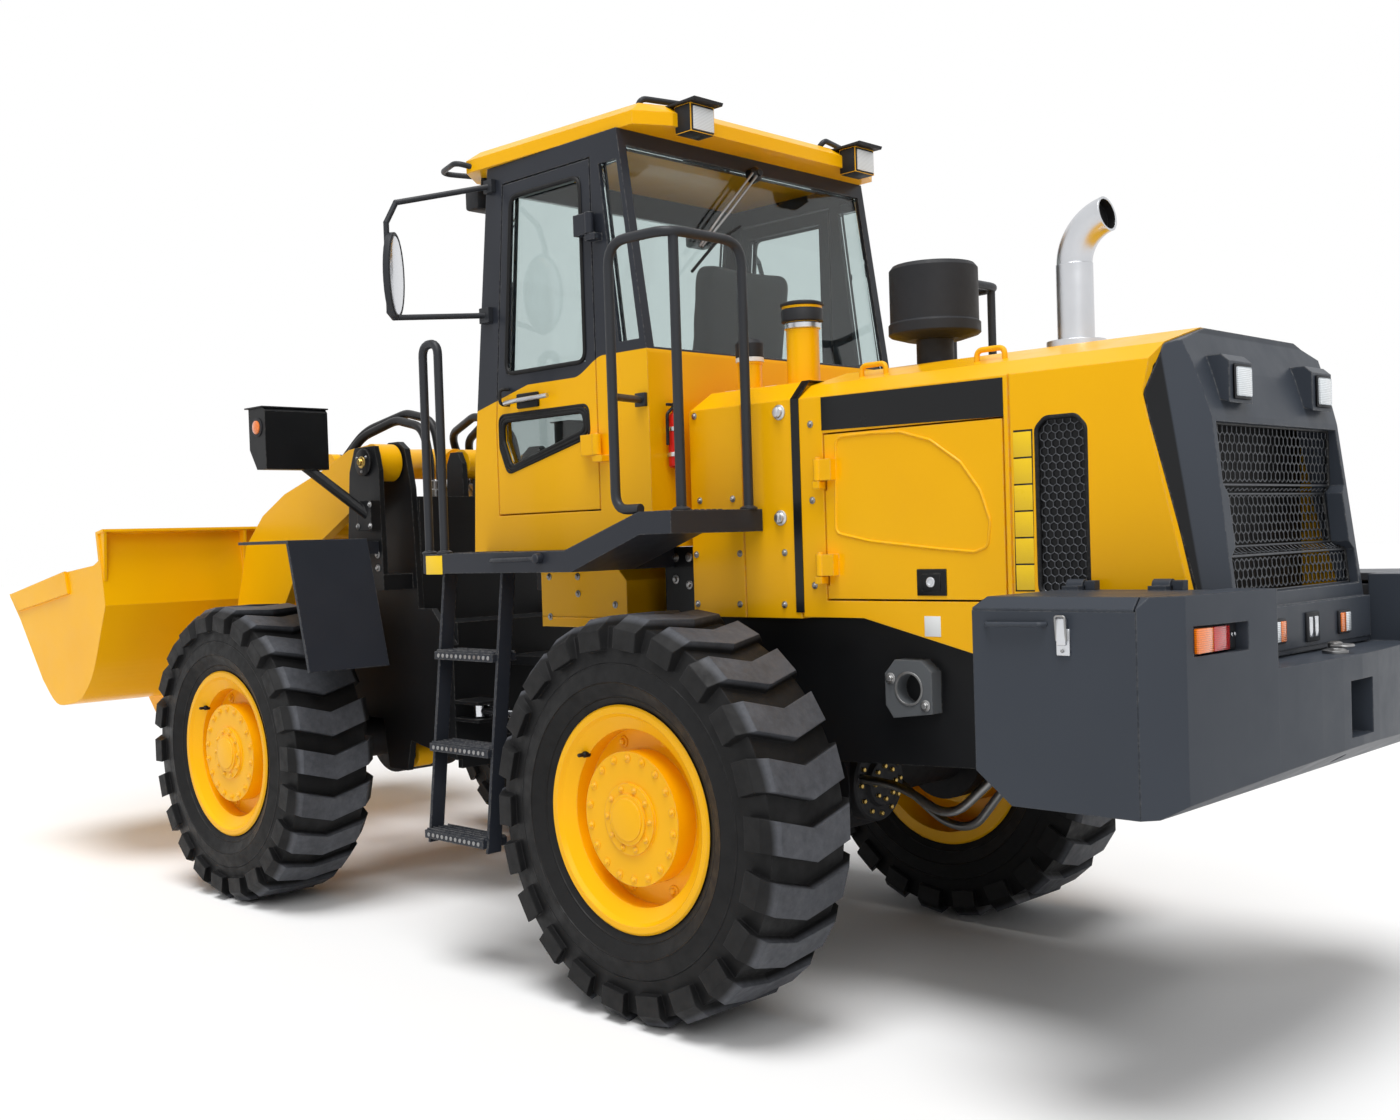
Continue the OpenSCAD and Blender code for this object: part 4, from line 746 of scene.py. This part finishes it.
GRILLE = [  # low edge, high edge, half width of each band
    ((-1.766, 1.387), (-1.756, 1.49), 0.428), ((-1.756, 1.49), (-1.722, 1.515), 0.42),
    ((-1.722, 1.515), (-1.705, 1.665), 0.396), ((-1.705, 1.665), (-1.716, 1.69), 0.41),
    ((-1.716, 1.69), (-1.716, 1.861), 0.414)]
GRILLE_IN = 0.004  # how far the wire lies behind the bands' outline
p = Piece("grille_mesh", "rear", "wire")
for (x0, z0), (x1, z1), half in GRILLE:
    low, run, rise = x0 + GRILLE_IN, x1 - x0, z1 - z0
    tall = math.hypot(run, rise)
    band = [(-half, 0), (half, 0), (half, tall), (-half, tall)]
    honeycomb(p, band, 0.03, 0.0022, lambda a, b: (low + run * b / tall, a, z0 + rise * b / tall))
    for y in (-half, half):
        p.tube([(low, y, z0), (low + run, y, z1)], 0.006, 0, "black", 8)
    p.tube([(low, -half, z0), (low, half, z0)], 0.004, 0, seg=6)
p.tube([(low + run, -half, z1), (low + run, half, z1)], 0.006, 0, "black", 8)
p.done(["rear_grille"])

LAMP_PARTS = [  # x, y and z ranges, look, rounding
    ((-1.882, -1.8702), (0.632, 0.868), (1.26, 1.33), "plastic", 0.003),
    ((-1.894, -1.881), (0.78, 0.864), (1.264, 1.326), "amber_lens", 0.003),
    ((-1.894, -1.881), (0.69, 0.778), (1.264, 1.326), "red_lens", 0.003),
    ((-1.826, -1.818), (0.19, 0.275), (1.24, 1.31), "plastic", 0.003),
    ((-1.8305, -1.825), (0.233, 0.269), (1.246, 1.304), "clear_lens", 0.003),
    ((-1.8305, -1.825), (0.196, 0.231), (1.246, 1.304), "amber_lens", 0.003),
    ((-1.76, -1.7523), (0.229, 0.333), (1.925, 2.022), "plastic", 0.005),
    ((-1.766, -1.759), (0.237, 0.325), (1.933, 2.014), "clear_lens", 0.006),
]
p = Piece("rear_lamp_units", "rear", "red_lens")
for _, s in SIDES:
    for x, y, z, look, bevel in LAMP_PARTS:
        p.side_box(s, x, y, z, look, bevel)
    for y in (0.665, 0.647):
        p.bolt((-1.882, s * y, 1.3), BACK, 0.006, "chrome", False)
p.box((-1.826, -0.045, 1.232), (-1.8177, 0.045, 1.318), "plastic", 0.004)
for y in (-0.02, 0.02):
    p.box((-1.829, y - 0.012, 1.245), (-1.825, y + 0.012, 1.305), "chrome")
p.done(["rear_lamps"])

TOW_X = -1.885
p = Piece("tow_pin", "rear", "steel")
p.lathe((TOW_X, 0, 1.2005), UP, [(0.036, 0), (0.036, 0.008), (0.02, 0.014), (0.02, 0.03), (0.012, 0.034)])
p.tube([(TOW_X, -0.03, 1.222), (-1.93, -0.03, 1.222), (-1.93, 0.03, 1.222), (TOW_X, 0.03, 1.222)],
       0.005, 0.02, seg=8)
p.done()

BOX_GRIP = [
    (-1.373, BOX_Y - 0.002, 1.338), (-1.385, BOX_Y + 0.016, 1.338), (-1.54, BOX_Y + 0.016, 1.34),
    (-1.552, BOX_Y - 0.002, 1.34)]
LATCH_WIRE = [
    (-1.617, BOX_Y + 0.012, 1.3), (-1.617, BOX_Y + 0.018, 1.362), (-1.589, BOX_Y + 0.018, 1.362),
    (-1.589, BOX_Y + 0.012, 1.3)]
for side, s in SIDES:
    p = Piece(f"battery_latch_{side}", "rear", "silver")
    p.tube(mirror(s, BOX_GRIP), 0.007, 0.012, "slate")
    p.side_box(s, (-1.622, -1.584), (BOX_Y, BOX_Y + 0.006), (1.262, 1.33))
    p.side_box(s, (-1.617, -1.589), (BOX_Y + 0.004, BOX_Y + 0.016), (1.288, 1.357), bevel=0.004)
    p.tube(mirror(s, LATCH_WIRE), 0.003, 0.006, "steel", 8)
    p.bolt((-1.603, s * (BOX_Y + 0.006), 1.274), (0, s, 0), 0.005, "steel", False)
    p.done()

# Cab: roof lamps and loops, wiper, window seals, door handles, extinguisher, mirror glass

LAMP_HAT = [(0.09, 3.136), (0.24, 3.136), (0.24, 3.142), (0.085, 3.147)]
REAR_ROOF_LOOP = [(0.32, 0.60, 3.12), (0.30, 0.60, 3.175), (0.24, 0.36, 3.175), (0.28, 0.34, 3.12)]
FRONT_ROOF_LOOP = [(1.15, 0.70, 3.08), (1.18, 0.775, 3.095), (1.36, 0.72, 3.095), (1.26, 0.60, 3.08)]
p = Piece("roof_fittings", "rear", "plastic")
for _, s in SIDES:
    p.side_box(s, (0.1185, 0.203), (0.4035, 0.5265), (3.033, 3.137), bevel=0.008)
    p.side_box(s, (0.112, 0.119), (0.4135, 0.5165), (3.042, 3.124), "clear_lens", 0.003)
    p.side_plate(s, LAMP_HAT, (0.3915, 0.5385))
    p.tube(mirror(s, REAR_ROOF_LOOP), 0.011, 0.03, "rail")
    p.tube(mirror(s, FRONT_ROOF_LOOP), 0.011, 0.04, "rail")
    p.side_box(s, (1.17, 1.255), (0.56, 0.68), (2.93, 3.02), bevel=0.012)
    p.side_box(s, (1.253, 1.259), (0.57, 0.67), (2.94, 3.01), "clear_lens", 0.003)
    p.tube(mirror(s, [(1.21, 0.62, 3.015), (1.2, 0.62, 3.062)]), 0.012, 0)
p.done()

p = Piece("rear_wiper", "rear", "black")
p.lathe((0.288, 0.02, 2.985), (-1, 0, 0.15), [(0.03, -0.012), (0.03, 0.02), (0.014, 0.03), (0.014, 0.04)], 18)
for dy in (0, 0.03):
    arm = [(0.262, 0.02 + dy, 2.985), (0.24, 0.22 + dy, 2.8), (0.236, 0.37 + dy * 0.4, 2.66)]
    p.tube(arm, 0.0045, 0.1, "steel", 8)
p.tube([(0.226, 0.17, 2.76), (0.236, 0.3, 2.68), (0.222, 0.44, 2.56)], 0.006, 0.1, "rubber", 6)
p.done()

UPPER_PANE = [(0.53, 2.25), (1.0, 2.25), (0.935, 2.925), (0.53, 2.925)]
LOWER_PANE = [(0.54, 1.998), (0.545, 2.07), (1.03, 2.07), (1.03, 1.99), (0.985, 1.885)]
LOWER_MIDDLE = (0.8, 2.03)
SEAL_Y = CAB_Y - 0.001
DOOR_LEVER = [(0.72, 0.73, 2.142), (0.9, 0.733, 2.138), (0.985, 0.725, 2.134)]
LEVER_STUD = [(0.9, 0.705, 2.138), (0.9, 0.733, 2.138)]
DOOR_GRIP = [(0.985, CAB_Y, 2.13), (1.0, 0.735, 2.13), (1.0, 0.735, 2.19), (0.985, CAB_Y, 2.19)]


def grown(outline, middle, by):
    """The outline's points moved by a distance away from its middle, on both axes."""
    return [(x + math.copysign(by, x - middle[0]), z + math.copysign(by, z - middle[1])) for x, z in outline]


for side, s in SIDES:
    p = Piece(f"cab_door_trim_{side}", f"cab_door_{side}", "seal")
    p.tube([(x, s * SEAL_Y, z) for x, z in UPPER_PANE], 0.009, 0.045, seg=8, closed=True)
    for by, r in ((0.0, 0.009), (0.011, 0.008), (0.022, 0.006)):
        frame_line = [(x, s * SEAL_Y, z) for x, z in grown(LOWER_PANE, LOWER_MIDDLE, by)]
        p.tube(frame_line, r, 0.035, seg=8, closed=True)
    p.side_box(s, (0.80, 0.93), (CAB_Y - SUNK, CAB_Y + 0.012), (2.108, 2.166), "black", 0.006)
    p.tube(mirror(s, DOOR_LEVER), 0.009, 0.03, "silver")
    p.tube(mirror(s, LEVER_STUD), 0.008, 0, "black")
    p.tube(mirror(s, DOOR_GRIP), 0.007, 0.02, "black", 8)
    p.done()

BOTTLE_X, BOTTLE_Y = 0.165, 0.605
BOTTLE = [(0.02, 0), (0.028, 0.006), (0.028, 0.17), (0.022, 0.188), (0.012, 0.196), (0.012, 0.206)]
p = Piece("extinguisher", "rear", "red")
p.lathe((BOTTLE_X, BOTTLE_Y, 1.84), UP, BOTTLE)
p.lathe((BOTTLE_X, BOTTLE_Y, 2.045), UP, [(0.014, 0), (0.014, 0.02), (0.009, 0.026)], 14, "black")
p.box((0.16, 0.58, 2.058), (0.172, 0.645, 2.068), "black")
p.tube([(BOTTLE_X, 0.62, 2.05), (BOTTLE_X, 0.645, 2.03), (BOTTLE_X, 0.646, 1.92)], 0.006, 0.02, "black", 8)
for z in (1.88, 1.97):
    p.lathe((BOTTLE_X, BOTTLE_Y, z), UP, [(0.0295, 0), (0.0295, 0.014)], 24, "silver")
    p.box((0.185, BOTTLE_Y - 0.01, z), (0.2005, BOTTLE_Y + 0.01, z + 0.014), "silver", 0.001)
p.done()

MIRROR_TURN = math.radians(35)
MIRROR_PANE = ((0.07, 0.15, -0.001), (0.07, 0.15, 0.0015), (0.066, 0.146, 0.0025))  # half axes, depth
MIRROR_RIM = (
    (0.081, 0.163, -0.023), (0.083, 0.165, -0.018), (0.083, 0.165, 0.0005), (0.079, 0.161, 0.003),
    (0.071, 0.151, 0.003), (0.071, 0.151, -0.02))


def ellipse(s, wide, tall, depth):
    """A ring of points on a mirror of side s, at a depth behind its middle."""
    ahead = Vector((math.cos(MIRROR_TURN), s * math.sin(MIRROR_TURN), 0))
    across = Vector((-ahead.y, ahead.x, 0))
    middle = Vector((1.215, s * 1.044, 2.63)) - ahead * depth
    turn = [math.radians(12 * i) for i in range(30)]
    return [middle + across * wide * math.cos(a) + Vector((0, 0, tall * math.sin(a))) for a in turn]


p = Piece("mirror_glass", "rear", "chrome")
for _, s in SIDES:
    p.rings([ellipse(s, *row) for row in MIRROR_PANE])
    p.rings([ellipse(s, *row) for row in MIRROR_RIM], "rail")
p.done()

# Steps and platforms: tread ribs, rivets, studs and a blank plate on the platform's edge

STEP_Z = (0.49, 0.815, 1.16)
LADDER_LOW, LADDER_HIGH = (1.04, 0.47), (0.93, 1.485)  # y, z of the ladder's middle line
STUD = [(0.009, 0), (0.007, 0.003)]
p = Piece("step_treads", "rear", "dark")
for _, s in SIDES:
    for z in STEP_Z:
        lean = (LADDER_LOW[0] - LADDER_HIGH[0]) / (LADDER_HIGH[1] - LADDER_LOW[1])
        middle = LADDER_LOW[0] - lean * (z - LADDER_LOW[1])
        for n in range(5):
            y = middle - 0.055 + 0.0235 * n
            rib = [(s * (y - 0.004), z + 0.0298), (s * (y + 0.004), z + 0.0298), (s * y, z + 0.037)]
            p.prism(rib, "x", 0.738, 1.092)
        for n in range(12):
            at = (0.76 + 0.028 * n, s * (middle + 0.052), z + 0.015)
            p.lathe(at, (0, s, 0), [(0.008, -0.004), (0.008, 0.0006), (0.006, 0.001)], 8, "steel")
    p.side_box(s, (1.045, 1.15), (BOX_Y, BOX_Y + 0.0015), (1.482, 1.553), "label", 0.0005)
    for first_x, count, deck in ((-0.17, 5, REAR_DECK_Z), (0.95, 7, FRONT_DECK_Z)):
        for n in range(count):
            for m in range(7):
                p.lathe((first_x + 0.03 * n, s * (0.74 + 0.028 * m), deck - 0.0003), UP, STUD, 8)
p.done()

# Front: headlamp lenses, pin plates of the boom's pivot, hoses and pipes to the boom

LAMP_SIDE = (2.345, 1.029, 2.135)
LAMP_STAY = [(2.365, 1.952), (2.416, 2.03), (2.41, 2.034), (2.358, 1.957)]
p = Piece("headlamp_lenses", "front", "clear_lens")
for _, s in SIDES:
    p.side_box(s, (2.412, 2.427), (0.735, 0.905), (2.07, 2.205), bevel=0.006)
    p.side_box(s, (2.412, 2.427), (0.915, 1.022), (2.07, 2.205), "amber_lens", 0.006)
    x, y, z = LAMP_SIDE
    p.lathe((x, s * y, z), (0, s, 0), [(0.042, 0), (0.042, 0.005), (0.032, 0.007)], 28, "plastic")
    marker = [(0.03, 0), (0.029, 0.006), (0.018, 0.011), (0, 0.012)]
    p.lathe((x, s * (y + 0.005), z), (0, s, 0), marker, 28, "amber_lens")
    p.side_box(s, (2.285, 2.44), (0.71, 1.04), (2.2195, 2.226), "plastic")
    p.side_plate(s, LAMP_STAY, (0.735, 0.9), "chrome")
p.done()

PIN_PLATE_Y = 0.585
p = Piece("pivot_plates", "front", "black")
for _, s in SIDES:
    plate = [(0.062, 0), (0.062, 0.012), (0.055, 0.016)]
    p.lathe((BOOM_PIN_X, s * PIN_PLATE_Y, BOOM_PIN_Z), (0, s, 0), plate, 32)
    p.bolt((BOOM_PIN_X, s * 0.6, BOOM_PIN_Z), (0, s, 0), 0.016, "brass")
    for degrees in (30, 150, 270):
        x = BOOM_PIN_X + 0.042 * math.cos(math.radians(degrees))
        z = BOOM_PIN_Z + 0.042 * math.sin(math.radians(degrees))
        p.bolt((x, s * 0.599, z), (0, s, 0), 0.007, "steel", False)
    for z in (1.5, 1.56):
        p.bolt((2.12, s * PIN_PLATE_Y, z), (0, s, 0), 0.01, "steel")
    for x, z in ((2.09, 1.69), (2.09, 1.785), (2.19, 1.69)):
        p.bolt((x, s * 0.637, z), (0, s, 0), 0.008, "steel")
p.done()

HOSES = ((0.2, 2.215, 2.80), (0.26, 2.18, 2.74))  # y, height over the pivot, x of the end on the boom
HOSE_X = 2.16  # where they leave the tower's top plate
LOW_FITTING = [(0.03, 0), (0.03, 0.035), (0.026, 0.04), (0.026, 0.075), (0.022, 0.08)]
HIGH_FITTING = [(0.024, -0.04), (0.028, -0.03), (0.028, 0.03), (0.02, 0.05)]
p = Piece("boom_hoses", "boom", "hose")
for _, s in SIDES:
    for y, top, end in HOSES:
        route = [
            (HOSE_X, y, TOWER_TOP_Z - 0.001), (HOSE_X, y, 2.0), (2.2, y, top - 0.03), (2.42, y, top + 0.02),
            (end - 0.1, y + 0.06, top - 0.05), (end, 0.43, 1.9), (end, 0.47, 1.86)]
        p.tube(mirror(s, route), 0.021, 0.14, seg=12)
        p.lathe((end, s * 0.44, 1.895), (0, s * 0.5, -0.6), HIGH_FITTING, 12, "steel")
        p.lathe((HOSE_X, s * y, TOWER_TOP_Z - SUNK), UP, LOW_FITTING, 12, "steel")
p.done(bend=("front", "boom", (2.17 - OX, 0, 2.0), (2.7 - OX, 0, 2.0)))

PIPE = [(2.7, 0.455, 1.86), (2.9, 0.45, 1.72), (3.2, 0.45, 1.5), (3.3, 0.46, 1.35)]
CLAMP_HALF = 0.02
p = Piece("boom_pipes", "boom", "steel")
for _, s in SIDES:
    p.tube(mirror(s, PIPE), 0.012, 0.15)
    for x, z in ((2.85, 1.76), (3.1, 1.575)):
        along, tall = (x - CLAMP_HALF, x + CLAMP_HALF), (z - CLAMP_HALF, z + CLAMP_HALF)
        p.side_box(s, along, (0.44, 0.49), tall, bevel=0.003)
p.done()

# Seat: crowned cushions with sewn channels on a bellows base

CORNER = 0.22  # rounding of a cushion's plan, in half widths
FLAT = 0.45  # the straight part of its edge, in half heights
WAIST = 0.05  # how far the sides pull in between the corners
SEAM_AT = 0.62  # the two seams along the sides, in half widths
SEAM_WIDTH = 0.05
LEAN = math.atan2(0.08, 0.59)


def clamp(value, limit):
    return max(-limit, min(limit, value))


def groove(depth, distance):
    return depth * math.exp(-(distance / SEAM_WIDTH) ** 2)


def cushion(name, place, half, crown, channels):
    """place turns box coordinates into a point; half holds the half sizes; channels cross the top."""
    bm = bmesh.new()
    bmesh.ops.create_cube(bm, size=2.0)
    bmesh.ops.subdivide_edges(bm, edges=list(bm.edges), cuts=11, use_grid_fill=True)
    for v in bm.verts:
        core = Vector((clamp(v.co.x, 1 - CORNER), clamp(v.co.y, 1 - CORNER), clamp(v.co.z, FLAT)))
        off = v.co - core
        off = Vector((off.x / CORNER, off.y / CORNER, off.z / (1 - FLAT)))
        if off.length > 1:
            off.normalize()
        u, w, t = core.x + off.x * CORNER, core.y + off.y * CORNER, core.z + off.z * (1 - FLAT)
        u *= 1 - WAIST * (1 - w * w)
        w *= 1 - WAIST * (1 - u * u)
        h = half[2] * t
        if t > 0:
            h += crown * (1 - min(1, u * u)) * (1 - min(1, w * w)) * t
            h -= sum(groove(0.011, u - c) for c in channels) * t
            h -= groove(0.009, abs(w) - SEAM_AT) * t
        v.co = place(half[0] * u, half[1] * w, h) - Vector((OX, 0, 0))
    me = bpy.data.meshes.new(name)
    bm.to_mesh(me)
    bm.free()
    me.polygons.foreach_set("use_smooth", [True] * len(me.polygons))
    me.materials.append(mats["fabric"])
    o = bpy.data.objects.new(name, me)
    scene.collection.objects.link(o)
    o.modifiers.new("soft", "SUBSURF").levels = 1
    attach(o, "rear")
    return o


def on_base(a, b, c):
    return Vector((0.64 + a, b, 1.99 + c))


def on_back(a, b, c):
    x = 0.41 - a * math.sin(LEAN) + c * math.cos(LEAN)
    return Vector((x, b, 2.355 + a * math.cos(LEAN) + c * math.sin(LEAN)))


base = cushion("seat_cushion", on_base, (0.25, 0.25, 0.055), 0.022, (-0.35, 0.0, 0.35))
cushion("seat_back", on_back, (0.285, 0.24, 0.05), 0.022, (-0.45, 0.0, 0.45))
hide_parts("seat")

FOLD_CUT = 0.8  # where a fold's corners are cut, as part of its half sides
FOLD_PLAN = [(-1, -FOLD_CUT), (-FOLD_CUT, -1), (FOLD_CUT, -1), (1, -FOLD_CUT)]
FOLD_PLAN += [(-x, -y) for x, y in FOLD_PLAN]
p = Piece("seat_base", "rear", "plastic")
for n in range(6):
    z = 1.607 + 0.052 * n
    p.prism([(0.615 + 0.185 * x, 0.17 * y) for x, y in FOLD_PLAN], "z", z, z + 0.04, bevel=0.008)
    p.box((0.46, -0.14, z + 0.038), (0.77, 0.14, z + 0.054), bevel=0.003)
p.box((0.42, -0.22, 1.918), (0.86, 0.22, 1.938), "rail", 0.004)
p.done()

# Rear axle: bolted cover and lines to the frame; bolts on the frame's grey brackets

COVER_X = -0.2
COVER = [
    (0.145, -0.07), (0.145, 0.022), (0.137, 0.03), (0.09, 0.032), (0.082, 0.05), (0.02, 0.052),
    (0, 0.052)]
COVER_BOLTS = ((12, 0.115, 0.03), (8, 0.06, 0.05))  # count, ring radius, distance out
RETURN_LINES = (
    [(-0.19, 0.1, 0.7), (-0.45, 0.15, 0.7), (-0.64, 0.15, 0.6), (-0.84, 0.15, 0.78), (-1.062, 0.15, 0.97)],
    [(-0.1, -0.25, 0.65), (-0.36, -0.22, 0.5), (-0.5, -0.2, 0.5), (-0.66, -0.2, 0.7), (-1.062, -0.2, 0.98)])
BRAKE_LINE = [
    (-0.1, 0.46, 1.02), (-0.28, 0.43, 0.98), (-0.36, 0.4, 0.82), (-0.2, 0.42, 0.77), (-0.12, 0.45, 0.76)]
p = Piece("axle_lines", "rear", "hose")
p.lathe((COVER_X, 0, AXLE_Z), BACK, COVER, 36, "cast")
for count, r, out in COVER_BOLTS:
    for n in range(count):
        a = 2 * math.pi * n / count
        p.bolt((COVER_X - out, r * math.cos(a), AXLE_Z + r * math.sin(a)), BACK, 0.009, "brass", False)
for route in RETURN_LINES:
    p.tube(route, 0.016, 1.0, "steel", 12)
for _, s in SIDES:
    p.tube(mirror(s, BRAKE_LINE), 0.011, 0.08)
p.done()

BRACKET_Y = 0.55  # outer faces of the brackets
BORE_X, BORE_Z = -0.782, 1.095
BORE_RIM = [(0.055, -0.001), (0.054, 0.003), (0.047, 0.003), (0.047, -0.001)]
p = Piece("bracket_bolts", "rear", "steel")
for _, s in SIDES:
    for x, z in ((-0.713, 1.125), (-0.845, 1.045)):
        p.bolt((x, s * BRACKET_Y, z), (0, s, 0), 0.011)
    p.lathe((BORE_X, s * BRACKET_Y, BORE_Z), (0, s, 0), BORE_RIM, 32, closed=True)
p.done()

# Exhaust: a sooty cup inside the mouth of the bend

MOUTH = (-1.3157, 0.205, 2.5279)
MOUTH_OUT = (-0.9848, 0, 0.1736)
CUP = [(0.0468, -0.0285), (0.0468, -0.0008), (0.0458, -0.0008), (0.0458, -0.027), (0.0004, -0.027)]
p = Piece("exhaust_soot", "rear", "seal")
p.lathe(MOUTH, MOUTH_OUT, CUP, 40)
p.done()

# Below the cab: bolted mount plates, bolts of the side boxes and a latch bar on the platform's edge

MOUNT_PLATE = [(0.19, 1.37), (0.33, 1.40), (0.33, 1.559), (0.19, 1.559)]
p = Piece("cab_mount_plates", "rear", "black")
for _, s in SIDES:
    p.side_plate(s, MOUNT_PLATE, (0.488, 0.499), bevel=0.002)
    for x, z in ((0.225, 1.42), (0.225, 1.52), (0.295, 1.44), (0.295, 1.52)):
        p.bolt((x, s * 0.499, z), (0, s, 0), 0.01, "steel")
p.done()

SIDE_BOX_Y = 0.6  # outer faces of the boxes under the cab
LATCH_BAR = [(0.72, 0.998, 1.53), (0.72, 1.02, 1.53), (0.46, 1.02, 1.534), (0.46, 0.998, 1.534)]
LATCH_KNOB = [(0.017, 0), (0.02, 0.012), (0.017, 0.027), (0.008, 0.033), (0.0004, 0.034)]
p = Piece("platform_latches", "rear", "dark")
for _, s in SIDES:
    p.tube(mirror(s, LATCH_BAR), 0.008, 0.012)
    p.lathe((0.46, s * (BOX_Y - 0.001), 1.534), (0, s, 0), LATCH_KNOB, 20)
    for x, z in ((0.73, 1.456), (0.73, 1.39), (0.52, 1.35), (0.9, 1.456), (0.9, 1.3)):
        p.bolt((x, s * SIDE_BOX_Y, z), (0, s, 0), 0.008, "steel")
    p.side_box(s, (0.53, 0.949), (SIDE_BOX_Y, SIDE_BOX_Y + 0.003), (1.296, 1.302), "yellow", 0.001)
p.done()
